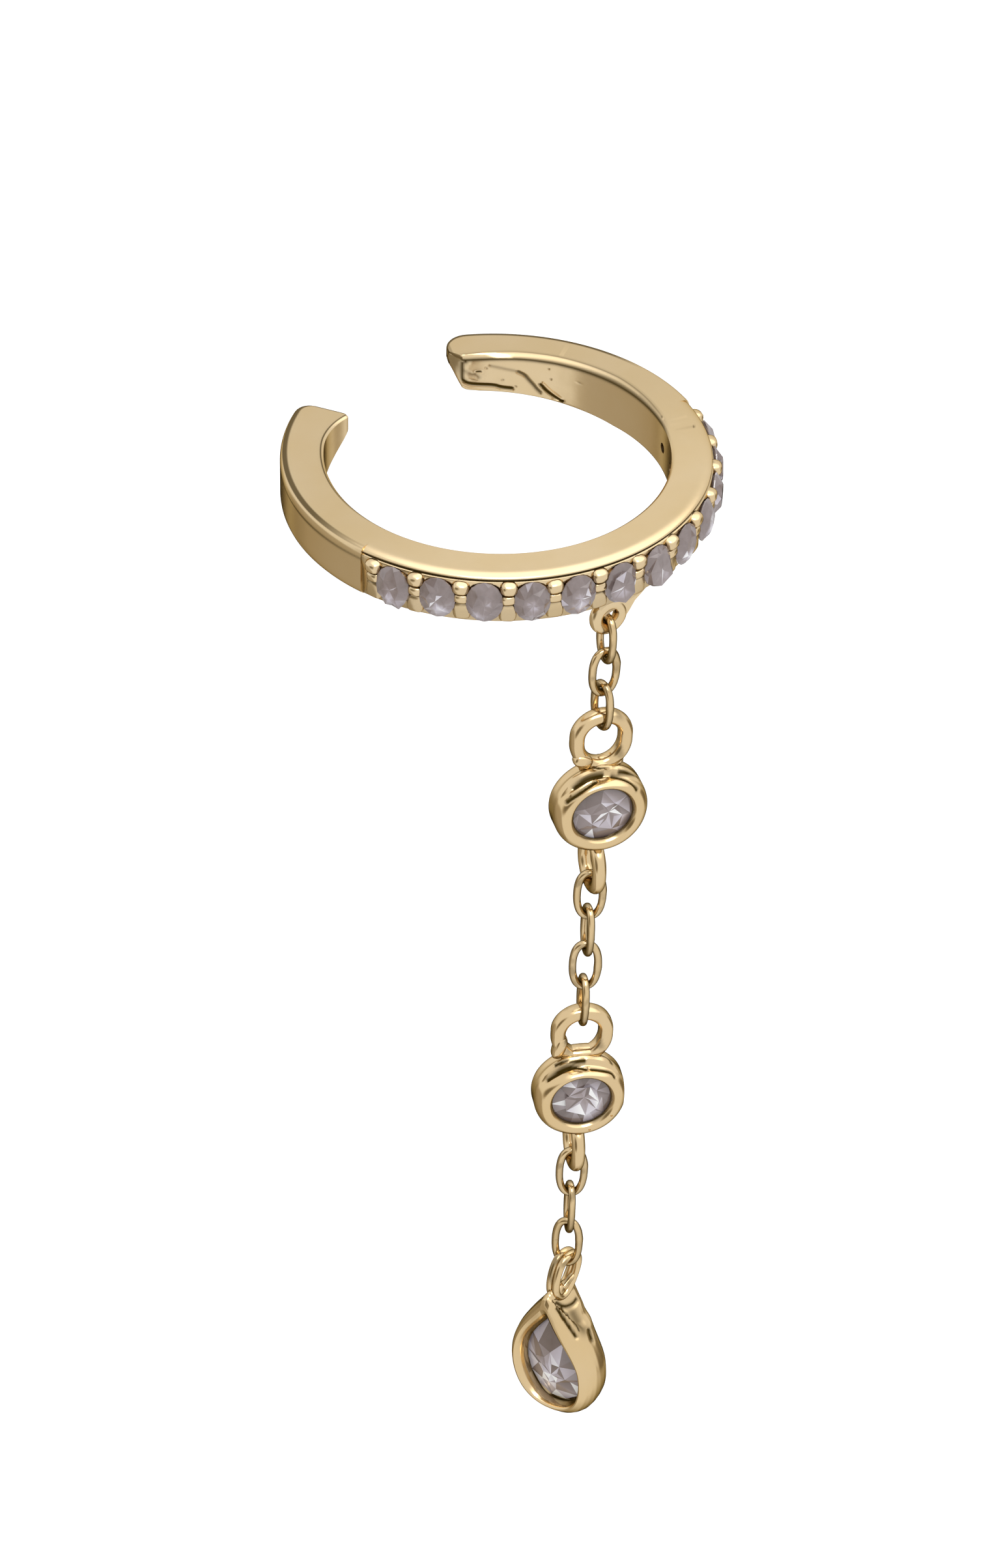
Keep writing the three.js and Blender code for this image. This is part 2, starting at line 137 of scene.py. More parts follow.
def addPiece(name, mesh, material, body, nodes, sharp=38):
    mesh.transform(Matrix.Scale(mm, 4))
    mesh.name = name
    piece = bpy.data.objects.new(name, mesh)
    bpy.context.scene.collection.objects.link(piece)
    mesh.materials.clear()
    mesh.materials.append(material)
    if sharp:
        mesh.shade_smooth()
        mesh.set_sharp_from_angle(angle=math.radians(sharp))
    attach(piece, body)
    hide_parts(*nodes)
    return piece


def joinMeshes(name, meshes):
    shape = bmesh.new()
    for mesh in meshes:
        shape.from_mesh(mesh)
    joined = bpy.data.meshes.new(name)
    shape.to_mesh(joined)
    shape.free()
    return joined


# a wire bent along a closed outline in the XZ plane
def bentWire(outline, wire, around, deep=1.0, boxy=2.0, swell=None):
    rings = []
    count = len(outline)
    for i, (x, z) in enumerate(outline):
        ahead = outline[(i + 1) % count]
        behind = outline[i - 1]
        along = Vector((ahead[0] - behind[0], ahead[1] - behind[1])).normalized()
        thick = wire / 2 * (swell(i / count) if swell else 1)
        ring = []
        for k in range(around):
            turn = 2 * math.pi * k / around
            c = math.cos(turn)
            s = math.sin(turn)
            stretch = thick * (abs(c) ** boxy + abs(s) ** boxy) ** (-1 / boxy)
            ring.append(Vector((x + along.y * c * stretch, s * stretch * deep, z - along.x * c * stretch)))
        rings.append(ring)
    return joinRings(rings, True)


# outline of a link: a stadium for power 0, else an oval of that power
def loopOutline(width, length, wire, sides, power=0):
    radius = (width - wire) / 2
    tall = (length - wire) / 2
    points = []
    for i in range(sides):
        turn = 2 * math.pi * (i + 0.5) / sides
        c = math.cos(turn)
        s = math.sin(turn)
        if power:
            points.append((
                radius * math.copysign(abs(c) ** (2 / power), c),
                tall * math.copysign(abs(s) ** (2 / power), s),
            ))
        else:
            points.append((radius * c, radius * s + math.copysign(tall - radius, s)))
    return points


# a blob between a ball and a rounded block
def blob(half, power, sides=20, rows=12):
    def bend(value):
        return math.copysign(abs(value) ** (2 / power), value)

    rings = []
    for i in range(1, rows):
        up = math.pi * (i / rows - 0.5)
        ring = []
        for k in range(sides):
            turn = 2 * math.pi * k / sides
            x = half[0] * bend(math.cos(up)) * bend(math.cos(turn))
            y = half[1] * bend(math.cos(up)) * bend(math.sin(turn))
            ring.append(Vector((x, y, half[2] * bend(math.sin(up)))))
        rings.append(ring)
    verts, faces = joinRings(rings, False)
    verts[-2].z = -half[2]
    verts[-1].z = half[2]
    return verts, faces


# the rings of a body turned about +Y, from rows of (radius, depth)
def turnedBody(profile, sides, change=None):
    rings = []
    for radius, depth in profile:
        ring = []
        for k in range(sides):
            turn = 2 * math.pi * k / sides
            point = Vector((radius * math.cos(turn), depth, radius * math.sin(turn)))
            ring.append(change(point, turn) if change else point)
        rings.append(ring)
    return rings


# points along a part of an ellipse
def arc(cx, cz, rx, rz, fromTurn, toTurn, steps):
    points = []
    for i in range(steps + 1):
        turn = math.radians(fromTurn + (toTurn - fromTurn) * i / steps)
        points.append((cx + rx * math.cos(turn), cz + rz * math.sin(turn)))
    return points


camera = {
    "place": (-89.8804, -107.1153, 96.6841),
    "right": (0.771930, -0.635535, 0.014845),
    "up": (0.381009, 0.481220, 0.789468),
    "forward": (0.508878, 0.603757, -0.613612),
    "lens": 127.68,
}

lens = bpy.data.cameras.new("view_camera")
lens.sensor_width = 36
lens.lens = camera["lens"]
lens.clip_start = 0.005
lens.clip_end = 5
eye = bpy.data.objects.new("view_camera", lens)
bpy.context.scene.collection.objects.link(eye)
columns = [Vector(camera["right"]), Vector(camera["up"]), -Vector(camera["forward"])]
turnMatrix = Matrix(columns).transposed().to_4x4()
eye.matrix_world = Matrix.Translation(Vector(camera["place"]) * mm) @ turnMatrix
bpy.context.scene.camera = eye
print("stage: camera set")


# shader nodes with their settings and socket values, and the wires between them
def addNode(tree, kind, sockets=None, **settings):
    node = tree.nodes.new("ShaderNode" + kind)
    for name, value in settings.items():
        setattr(node, name, value)
    for socket, value in (sockets or {}).items():
        node.inputs[socket].default_value = value
    return node


def connect(tree, *wires):
    for source, output, target, socket in wires:
        tree.links.new(source.outputs[output], target.inputs[socket])


def emptyTree(holder):
    holder.use_nodes = True
    holder.node_tree.nodes.clear()
    return holder.node_tree


goldLook = {
    "color": (0.86, 0.675, 0.42),
    "warmColor": (0.80, 0.59, 0.30),
    "warmScale": 420,
    "warmShare": 0.5,
    "shadeDeepen": 1.0,
    # colour of the painted shade mixed in at grooves, recesses, joints and turned-away rims
    "paintedShade": (0.042, 0.025, 0.004),
    "edge": (0.6, 0.46, 0.25),
    "roughness": 0.2,
    "roughnessSpread": 0.10,
    "grain": 5200,
    "grainShare": 0.35,
    "bump": 0.10,
    "bumpHeight": 0.00003,
    "pitScale": 900,
    "pitSize": 0.06,
    "rimFrom": 0.6,
    "rimFull": 0.95,
    "rimDark": 0.7,
}
# the settings and chain use darker, deeper copies of the same gold: painted shade
settingLook = dict(goldLook, roughness=0.17, shadeDeepen=1.15, rimFrom=0.42, rimFull=0.85, rimDark=0.8)
chainLook = dict(goldLook, roughness=0.14, bump=0.05, shadeDeepen=1.15, rimFrom=0.2, rimFull=0.6, rimDark=0.85)


# plated cast metal: a slow change of tone, fine grain in the roughness and bump, a few tiny pits, and
# painted shade: a dark diffuse mixed in where the mesh is painted and where wire and rims turn away from view
def goldMaterial(name, look):
    material = bpy.data.materials.new(name)
    tree = emptyTree(material)
    plain, warm = [tuple(c ** look["shadeDeepen"] for c in look[key]) + (1,) for key in ("color", "warmColor")]
    half = look["roughnessSpread"] / 2
    roughFrom, roughTo = look["roughness"] - half, look["roughness"] + half
    output = addNode(tree, "OutputMaterial")
    metal = addNode(tree, "BsdfPrincipled", {"Metallic": 1, "Specular Tint": (*look["edge"], 1)})
    place = addNode(tree, "TexCoord")
    tone = addNode(tree, "TexNoise", {"Scale": look["warmScale"], "Detail": 3})
    share = addNode(tree, "MapRange", {"From Min": 0.35, "From Max": 0.75, "To Max": look["warmShare"]})
    mix = addNode(tree, "Mix", {"A": plain, "B": warm}, data_type="RGBA")
    grain = addNode(tree, "TexNoise", {"Scale": look["grain"], "Detail": 4})
    rough = addNode(tree, "MapRange", {"To Min": roughFrom, "To Max": roughTo})
    pits = addNode(tree, "TexVoronoi", {"Scale": look["pitScale"]})
    pitShape = addNode(tree, "MapRange", {"From Max": look["pitSize"], "To Min": 0, "To Max": 1})
    height = addNode(tree, "Math", {1: look["grainShare"]}, operation="MULTIPLY_ADD")
    bump = addNode(tree, "Bump", {"Strength": look["bump"], "Distance": look["bumpHeight"]})
    shade = addNode(tree, "Attribute", attribute_name="shade")
    # painted shade: the facing darkens wire and rims as they turn from view
    rim = addNode(tree, "LayerWeight", {"Blend": 0.5})
    rimRange = {"From Min": look["rimFrom"], "From Max": look["rimFull"], "To Max": look["rimDark"]}
    rimShare = addNode(tree, "MapRange", rimRange)
    darkest = addNode(tree, "Math", operation="MAXIMUM")
    shadeDiffuse = addNode(tree, "BsdfDiffuse", {"Color": (*look["paintedShade"], 1)})
    cover = addNode(tree, "MixShader")
    connect(
        tree,
        (place, "Object", tone, "Vector"),
        (place, "Object", grain, "Vector"),
        (place, "Object", pits, "Vector"),
        (tone, "Fac", share, "Value"),
        (share, "Result", mix, "Factor"),
        (mix, "Result", metal, "Base Color"),
        (grain, "Fac", rough, "Value"),
        (rough, "Result", metal, "Roughness"),
        (pits, "Distance", pitShape, "Value"),
        (grain, "Fac", height, 0),
        (pitShape, "Result", height, 2),
        (height, "Value", bump, "Height"),
        (bump, "Normal", metal, "Normal"),
        (rim, "Facing", rimShare, "Value"),
        (rimShare, "Result", darkest, 0),
        (shade, "Fac", darkest, 1),
        (darkest, "Value", cover, "Fac"),
        (metal, "BSDF", cover, 1),
        (shadeDiffuse, "BSDF", cover, 2),
        (cover, "Shader", output, "Surface"),
    )
    return material


gemLook = {
    "tones": [
        (0.0, (0.15, 0.105, 0.09)),
        (0.42, (0.31, 0.25, 0.245)),
        (0.75, (0.64, 0.59, 0.66)),
        (1.0, (1, 1, 1)),
    ],
    "transmission": 0.3,
    "roughness": 0.04,
    "ior": 1.9,
    "cloudScale": 2600,
}


# cut crystal: each facet has its own tone between brown-grey, lilac and white, under a glassy surface; the
# tones carry painted glints, highlights and shade
def gemMaterial(name, look, clouding):
    material = bpy.data.materials.new(name)
    tree = emptyTree(material)
    output = addNode(tree, "OutputMaterial")
    glass = addNode(tree, "BsdfPrincipled", {
        "Transmission Weight": look["transmission"],
        "Roughness": look["roughness"],
        "IOR": look["ior"],
    })
    tone = addNode(tree, "Attribute", attribute_name="tone")
    place = addNode(tree, "TexCoord")
    cloud = addNode(tree, "TexNoise", {"Scale": look["cloudScale"], "Detail": 2})
    spread = addNode(tree, "Math", {1: clouding}, operation="MULTIPLY_ADD")
    ramp = addNode(tree, "ValToRGB")
    stops = ramp.color_ramp.elements
    stops[0].color = (*look["tones"][0][1], 1)
    stops[1].color = (*look["tones"][-1][1], 1)
    for position, color in look["tones"][1:-1]:
        stops.new(position).color = (*color, 1)
    connect(
        tree,
        (place, "Object", cloud, "Vector"),
        (cloud, "Fac", spread, 0),
        (tone, "Fac", spread, 2),
        (spread, "Value", ramp, "Fac"),
        (ramp, "Color", glass, "Base Color"),
        (glass, "BSDF", output, "Surface"),
    )
    return material


bandGold = goldMaterial("band_gold", goldLook)
settingGold = goldMaterial("setting_gold", settingLook)
chainGold = goldMaterial("chain_gold", chainLook)
clearGem = gemMaterial("clear_gem", gemLook, 0.1)
cloudyGem = gemMaterial("cloudy_gem", gemLook, 0.5)
print("stage: materials made")


# the open ring. Rises are shares of the height over distances from a tip, and bevels go by angle.
# rowFloor is (out from the floor, height), and underLip is (out from the floor, below the lip's shelf)
band = {
    "inner": 5.3,
    "face": 6.5,
    "bulge": 0.13,
    "height": 1.7,
    "edgeDrop": 0.28,
    "edgeIn": 0.1,
    "leftTip": 118.1,
    "backTip": 66.2,
    "leftRound": 0.42,
    "backRound": 0.78,
    "innerRound": 0.14,
    "flare": 0.4,
    "flareLength": 2.3,
    "leftRise": [
        (0, 0.7), (0.06, 0.62), (0.18, 0.5), (0.36, 0.38), (0.58, 0.27), (0.85, 0.17), (1.2, 0.06), (1.5, 0),
    ],
    "backRise": [
        (0, 0.74), (0.08, 0.6), (0.17, 0.42), (0.26, 0.28), (0.36, 0.23), (0.65, 0.19), (1.9, 0.12),
        (3, 0.05), (3.9, 0),
    ],
    "backFacet": 0.36,
    "backFacetLength": 0.44,
    "bevelWide": [
        (-30, 0.09), (-12, 0.14), (8, 0.27), (32, 0.25), (45, 0.2), (54.6, 0.12), (61, 0.09), (64.5, 0.07),
        (66.2, 0.03),
    ],
    "bevelTall": [
        (-30, 0.07), (-12, 0.07), (8, 0.07), (32, 0.1), (45, 0.13), (54.6, 0.17), (61, 0.16), (64.5, 0.12),
        (66.2, 0.05),
    ],
    "plainBevel": (0.09, 0.07),
    "lowBevel": 0.09,
    "faceSteps": (0.24, 0.18, 0.13, 0.09, 0.06, 0.03),
    "bevelSteps": (1, 0.97, 0.8, 0.6, 0.4, 0.2, 0.05, 0),
    "bevelBow": 1.25,
    "rowFoot": (0.08, 0.06),
    "rowFloor": [(0, -0.35), (0.03, 0.1), (0.1, 0.4), (0.115, 0.5)],
    "underLip": [(0.11, 0.1), (0.09, 0.055), (0.01, 0.02), (0.01, 0)],
    "lipOut": 0.05,
    "lipIn": 0.28,
    "lipTall": 0.15,
    "floorIn": 0.01,
    "wallSteps": 70,
}

row = {
    "stones": 12,
    "middle": -90,
    "endMargin": 4.1,
    "diameter": 1.24,
    "gap": 0.175,
    "proud": 0.42,
    "crown": 0.25,
    "girdle": 0.04,
    "pavilion": 0.48,
    "clearance": 0.045,
    "backHole": 0.34,
    "seatSides": 32,
    "stoneGrow": 1.03,
    "stoneOval": (0.88, 1.09),
    "table": 0.56,
    "stray": 0.3,
}

# the prongs between two stones: height on the ring, half sizes outward, along and up
prongs = [
    {"height": 0.44, "half": (0.38, 0.28, 0.22), "power": 2.9},
    {"height": 0.06, "half": (0.31, 0.25, 0.18), "power": 3.2},
    {"height": -0.4, "half": (0.24, 0.27, 0.33), "power": 4},
]

floorRadius = band["face"] - band["floorIn"]
lipRadius = band["face"] + band["lipOut"]
girdleRadius = floorRadius + row["proud"] - row["crown"]
culetRadius = girdleRadius - row["pavilion"]
pitch = 2 * math.degrees(math.asin((row["diameter"] + row["gap"]) / 2 / girdleRadius))
halfRow = row["stones"] * pitch / 2
stoneAngles = [row["middle"] - halfRow + (i + 0.5) * pitch for i in range(row["stones"])]
beadAngles = [row["middle"] - halfRow + i * pitch for i in range(row["stones"] + 1)]
rowFrom = row["middle"] - halfRow - row["endMargin"]
rowTo = row["middle"] + halfRow + row["endMargin"]

# marks on the inner wall by the back tip, as (angle, height) along the wall, with width, depth and the
# painted shade along each groove
wallMarks = [
    {"path": [(61.4, 0.66), (62.6, 0.5), (62.9, 0.2), (62.2, -0.08), (60.4, -0.2), (57, -0.265),
              (51.5, -0.285), (49.1, -0.38), (45.6, -0.4)],
     "wide": 0.07, "deep": 0.045, "paintedShade": 1},
    {"path": [(52.6, 0.42), (49.7, 0.36), (47.2, 0.3), (44.8, 0.27), (42.8, 0.2), (41.3, 0.13)],
     "wide": 0.07, "deep": 0.015, "paintedShade": 0.3},
    {"path": [(43.5, 0.23), (41.3, 0.13), (40, -0.02), (38.2, -0.19), (37.2, -0.31), (35.9, -0.42)],
     "wide": 0.075, "deep": 0.03, "paintedShade": 0.65},
    {"path": [(35.8, -0.14), (33.9, -0.34), (31.1, -0.5), (27.9, -0.6)],
     "wide": 0.06, "deep": 0.04, "paintedShade": 1},
    {"path": [(34.8, -0.06), (32.1, -0.3), (28.4, -0.5)], "wide": 0.05, "deep": -0.03, "paintedShade": 0},
    {"path": [(57.6, 0.22), (56.2, 0.22)], "wide": 0.04, "deep": 0.03, "paintedShade": 0.8},
    {"path": [(61.2, 0.26), (59.6, 0.12), (57.8, 0.12), (56.8, 0.0)],
     "wide": 0.09, "deep": 0.015, "paintedShade": 0.3},
]
# pits in the inner wall, as (angle, height)
wallPits = [(54.1, 0.34), (48.5, -0.09), (44.2, -0.31), (33.0, 0.5), (35.6, -0.2), (21.4, 0.26), (32.2, 0.13)]
pitSize = 0.035
# pits in the top face, as (radius, angle)
facePits = [(5.41, -18.3), (5.6, -23.6), (6.04, -20.8), (6.18, -25.9), (6.0, -2), (5.75, 30)]
arcPerDegree = math.radians(1) * band["inner"]


def nearPath(point, path):
    best = 1e9
    for a, b in zip(path, path[1:]):
        ab = b - a
        share = max(0, min(1, (point - a).dot(ab) / max(1e-9, ab.dot(ab))))
        best = min(best, (a + ab * share - point).length)
    return best


# push and painted shade at a point from marks with a line, a width, a depth and a painted shade level
def markState(point, marks):
    push = 0
    paintedShade = 0
    for mark in marks:
        gap = nearPath(point, mark["line"])
        if gap < mark["wide"] * 2.5:
            near = bell(gap, mark["wide"])
            push += mark["deep"] * near
            paintedShade = max(paintedShade, min(1, 1.4 * mark["paintedShade"] * near ** 1.3))
    return push, paintedShade


# the path with its corners cut twice
def softened(points):
    for _ in range(2):
        cut = [points[0]]
        for a, b in zip(points, points[1:]):
            cut += [a.lerp(b, 0.25), a.lerp(b, 0.75)]
        points = cut + [points[-1]]
    return points


for mark in wallMarks:
    mark["line"] = softened([Vector((a * arcPerDegree, z)) for a, z in mark["path"]])


# dent into the metal, and painted shade in the marks and pits, of the inner wall at an angle and height
def wallState(angle, height):
    if angle < 14:
        return 0, 0
    point = Vector((angle * arcPerDegree, height))
    dent, paintedShade = markState(point, wallMarks)
    for a, z in wallPits:
        gap = (Vector((a * arcPerDegree, z)) - point).length
        if gap < 4 * pitSize:
            near = bell(gap, pitSize)
            dent += 0.02 * near
            paintedShade = max(paintedShade, 0.6 * near)
    ripple = noise.noise(Vector((angle * arcPerDegree * 1.6, height * 1.8, 4))) * 0.02
    return dent + ripple * smoothStep(angle, 22, 32), paintedShade


ringTop = band["height"] / 2


def bevelSize(angle):
    if angle <= -30:
        return band["plainBevel"]
    return fromTable(band["bevelWide"], angle), fromTable(band["bevelTall"], angle)


# distances along the ring from its back tip and from its left tip
def fromTips(angle):
    perDegree = math.radians(1) * band["face"]
    return (band["backTip"] - angle) * perDegree, (angle + 360 - band["leftTip"]) * perDegree


# how far a corner of that rounding stands back at a distance from the tip
def cornerTrim(rounding, away):
    if away >= rounding:
        return 0
    return rounding - math.sqrt(max(0, rounding * rounding - (rounding - away) ** 2))


# the left arm thickens inwards at its tip
def leftFlare(away):
    return band["flare"] * max(0, 1 - away / band["flareLength"]) ** 2


# outer radius of the ring's faces with the tips' roundings
def faceRadius(back, left):
    rounding = band["leftRound"] if left < back else band["backRound"]
    return band["face"] - cornerTrim(rounding, max(0, min(back, left)))


# both kinds of section have as many points, so that they join
def bandSection(angle, inRow):
    back, left = fromTips(angle)
    atLeft = left < back
    away = max(0, min(back, left))
    rise = fromTable(band["leftRise"] if atLeft else band["backRise"], away / band["height"]) * band["height"]
    inner = band["inner"] + cornerTrim(band["innerRound"], away)
    if atLeft:
        inner -= leftFlare(away)
    else:
        facet = band["backFacet"] * max(0, 1 - away / band["backFacetLength"]) ** 1.2
        inner = max(inner, band["inner"] + facet)
    face = faceRadius(back, left)
    low = rise - ringTop
    drop = min(band["edgeDrop"], (ringTop - low) * 0.35)
    wide, tall = bevelSize(angle)
    tall = min(tall, (ringTop - low) * 0.5)
    lowBevel = band["lowBevel"]
    points = arc(inner + lowBevel, low + lowBevel, lowBevel, lowBevel, 180, 270, 3)
    if inRow:
        footOut, footUp = band["rowFoot"]
        points += arc(floorRadius - footOut, low + footUp, footOut, footUp, 270, 360, 5)
        shelf = ringTop - band["lipTall"]
        points += [(floorRadius + out, z) for out, z in band["rowFloor"]]
        points += [(floorRadius + out, shelf - down) for out, down in band["underLip"]]
        rim = band["lipIn"] + band["lipOut"]
        points += arc(lipRadius - rim, shelf + 0.02, rim, ringTop - shelf - 0.02, 0, 90, 10)
    else:
        edge = band["edgeIn"]
        points += arc(face - edge, low + drop, edge + band["bulge"], drop, 270, 360, 5)
        out = face + band["bulge"]
        points += [(out, low + drop + 0.1 * (ringTop - low)), (out, (low + ringTop) / 2)]
        points += [(out, ringTop - drop - down) for down in band["faceSteps"]]
        points += arc(face - 0.03, ringTop - drop, band["bulge"] + 0.03, drop, 0, 90, 10)
    points += [(points[-1][0] - 0.04, ringTop), (points[-1][0] - 0.09, ringTop)]
    points += [(inner + wide + 0.12, ringTop), (inner + wide + 0.04, ringTop)]
    points += [(inner + wide * s, ringTop - tall * (1 - s) ** band["bevelBow"]) for s in band["bevelSteps"]]
    top = points[-1][1]
    bottom = points[0][1]
    for i in range(1, band["wallSteps"]):
        z = top + (bottom - top) * i / band["wallSteps"]
        points.append((inner + wallState(angle, z)[0], z))
    return [onRing(r, angle, z) for r, z in points]


band["tipSteps"] = (0, 0.02, 0.05, 0.1, 0.16, 0.24, 0.33, 0.43, 0.55, 0.68, 0.8)
band["fineTurn"] = 0.28
band["fineTo"] = 26
band["coarseTurn"] = 1.1


# sections close together by the tips and along the marked wall, wider apart elsewhere
def bandBody():
    near = [t / (math.radians(1) * band["face"]) for t in band["tipSteps"]]
    end = band["leftTip"] - 360
    angles = [band["backTip"] - t for t in near]
    place = angles[-1] - band["fineTurn"]
    while place > band["fineTo"]:
        angles.append(place)
        place -= band["fineTurn"]
    sections = [bandSection(a, False) for a in angles]
    here = angles[-1]
    stops = [
        (rowTo + 0.05, False),
        (rowTo, True),
        (rowFrom, True),
        (rowFrom - 0.05, False),
        (end + near[-1], False),
    ]
    for stop, inRow in stops:
        count = max(1, round((here - stop) / band["coarseTurn"]))
        for i in range(1, count + 1):
            sections.append(bandSection(here + (stop - here) * i / count, inRow))
        here = stop
    sections += [bandSection(end + t, False) for t in reversed(near[:-1])]
    return joinRings(sections, False)


# how dark each line and patch of painted shade on the ring is, and how wide
bandShadeLevels = {
    "facet": 0.5,
    "underBevel": 0.95,
    "aboveLine": 0.045,
    "belowLine": 0.075,
    "aboveBevel": 0.6,
    "topFade": 0.13,
    "rowEnd": 0.55,
    "lip": 0.95,
    "floor": 0.3,
    "prongLine": 0.9,
    "prongLineWide": 0.04,
    "prongLineAt": (0.24, -0.11),
    "prongFoot": 0.2,
    "leftWall": 0.85,
    "leftWallAt": 0.5,
    "leftWallWide": 0.05,
    "contour": 0.85,
    "contourWide": 0.075,
    "leftBevel": 0.95,
    "backEnd": 0.45,
    "pit": 0.8,
}


# painted shade in the row: at its ends, the line under the lip, the floor and the lines between the prong
# blocks
def rowPaintedShade(angle, radius, z):
    if min(angle - rowFrom, rowTo - angle) < 0.3:
        return bandShadeLevels["rowEnd"]
    if z > ringTop - band["lipTall"] - 0.045 and radius < lipRadius + 0.02:
        return bandShadeLevels["lip"]
    if radius < floorRadius + 0.005:
        return bandShadeLevels["floor"]
    if radius <= floorRadius + 0.12:
        return 0
    line = max(bell(z - at, bandShadeLevels["prongLineWide"]) for at in bandShadeLevels["prongLineAt"])
    return max(bandShadeLevels["prongLine"] * line, bandShadeLevels["prongFoot"] * smoothStep(-z, 0.1, 0.3))


# painted shade on the flat top: a slow darkening towards the back, dark pits and the line above the inner
# bevel
def topPaintedShade(point, angle, radius, fade):
    for r, a in facePits:
        gap = (onRing(r, a, 0) - Vector((point.x, point.y, 0))).length
        if gap < 0.1:
            return bandShadeLevels["pit"] * bell(gap, 0.04)
    line = bell(radius - band["inner"] - bevelSize(angle)[0], 0.045) * smoothStep(angle, -30, -10)
    return max(bandShadeLevels["aboveBevel"] * line, fade)


# painted shade over the whole ring: the back facet, lines under and over the bevels, the row, the left wall's
# line, the dark contour along the top edge, the back end, and the wall's marks and pits
def bandPaintedShade(point):
    angle = math.degrees(math.atan2(point.y, point.x))
    if angle > 90:
        angle -= 360
    radius = math.hypot(point.x, point.y)
    z = point.z
    back, left = fromTips(angle)
    if z < -ringTop - 0.02:
        return 0
    if back < band["backFacetLength"] * 0.8 and z < ringTop - 0.05 and radius < band["face"] - 0.3:
        return bandShadeLevels["facet"] * smoothStep(z, -0.3, 0.5)
    if radius < band["inner"] + 0.12 and angle > -40 and z < ringTop - 0.012:
        gap = z - ringTop + bevelSize(angle)[1]
        line = bell(gap, bandShadeLevels["aboveLine"] if gap > 0 else bandShadeLevels["belowLine"])
        return max(bandShadeLevels["underBevel"] * line * smoothStep(angle, -36, -20), wallState(angle, z)[1])
    fade = bandShadeLevels["topFade"] * smoothStep(point.y, -4.5, 0.5)
    if rowFrom - 0.02 < angle < rowTo + 0.02 and radius > girdleRadius - 0.6 and z < ringTop - 0.12:
        return rowPaintedShade(angle, radius, z)
    if left < 9.5 and radius > band["face"] - 0.05 and z < ringTop - 0.05:
        line = bandShadeLevels["leftWall"] * bell(z - bandShadeLevels["leftWallAt"], bandShadeLevels["leftWallWide"])
        return line * smoothStep(left, 0.2, 1.2) * (1 - 0.5 * smoothStep(left, 5, 9.5))
    onEdge = radius > faceRadius(back, left) - bandShadeLevels["contourWide"] and z > ringTop - 0.2
    if onEdge or left < 0.03 and z > ringTop - 0.1:
        outline = max(smoothStep(angle, 2, 20), 1 - smoothStep(left, 6, 9.5))
        return max(fade, bandShadeLevels["contour"] * outline)
    if left < 9 and radius < band["inner"] + 0.15:
        line = bell(radius - band["inner"] + leftFlare(left) - 0.09, 0.03) * (1 - smoothStep(left, 4, 9))
        return max(fade, bandShadeLevels["leftBevel"] * line) if z > ringTop - 0.02 else 0
    if back < 0.12:
        return bandShadeLevels["backEnd"]
    return topPaintedShade(point, angle, radius, fade) if z > ringTop - 0.05 else 0


# a part placed on the ring at an angle and height, facing out
def outward(part, angle, height, radius=0):
    turn = Matrix.Rotation(math.radians(angle), 4, "Z") @ Matrix.Translation((radius, 0, height))
    return moved(part, turn)


# seats are turned about the way out of the ring
def seatCutter(angle):
    wide = row["diameter"] / 2 + row["clearance"]
    narrow = row["backHole"] / 2
    profile = [
        (narrow, band["inner"] * 0.95),
        (narrow, culetRadius - 0.05),
        (wide, girdleRadius - 0.05),
        (wide, band["face"] * 1.08),
    ]
    turns = [2 * math.pi * k / row["seatSides"] for k in range(row["seatSides"])]
    rings = [[Vector((out, r * math.cos(t), r * math.sin(t))) for t in turns] for r, out in profile]
    return outward(joinRings(rings, False), angle, 0)


loop = {
    "turn": -6.5,
    "radius": 6.15,
    "drop": 0.66,
    "outer": 1.24,
    "wire": 0.38,
    "visualWire": 0.42,
    "fillet": 1.2,
    "thick": 0.17,
}
loopHeight = -band["height"] / 2 - loop["drop"]
loopPlace = Matrix.Rotation(math.radians(loop["turn"]), 4, "Z")
loopPlace = loopPlace @ Matrix.Translation((0, -loop["radius"], loopHeight))


# solder web between the ring's underside and its loop
def solderWeb():
    half = loop["outer"] / 2
    wire = loop["wire"]
    outline = [
        (-half + wire * 0.42, loop["drop"] + 0.15),
        (-half + wire * 0.5, 0.3),
        (-half + wire * 0.75, 0.12),
        (-wire * 0.3, half - wire * 0.75),
        (wire * 0.5, half - wire * 0.75),
        (half - wire * 0.55, 0.0),
        (half - wire * 0.2, -0.2),
        (half + 0.08, 0.0),
        (half + 0.3, 0.33),
        (loop["fillet"] - 0.02, loop["drop"] - 0.12),
        (loop["fillet"] + 0.14, loop["drop"] + 0.02),
        (loop["fillet"] + 0.1, loop["drop"] + 0.15),
    ]
    rings = []
    for inset, depth in ((0.1, -1), (0.03, -0.75), (0, -0.3), (0, 0.3), (0.03, 0.75), (0.1, 1)):
        middle = Vector((0.25, 0.35))
        ring = []
        for x, z in outline:
            flat = Vector((x, z))
            flat = flat + (middle - flat) * inset
            ring.append(Vector((flat.x, depth * loop["thick"], flat.y)))
        rings.append(ring)
    return joinRings(rings, False)


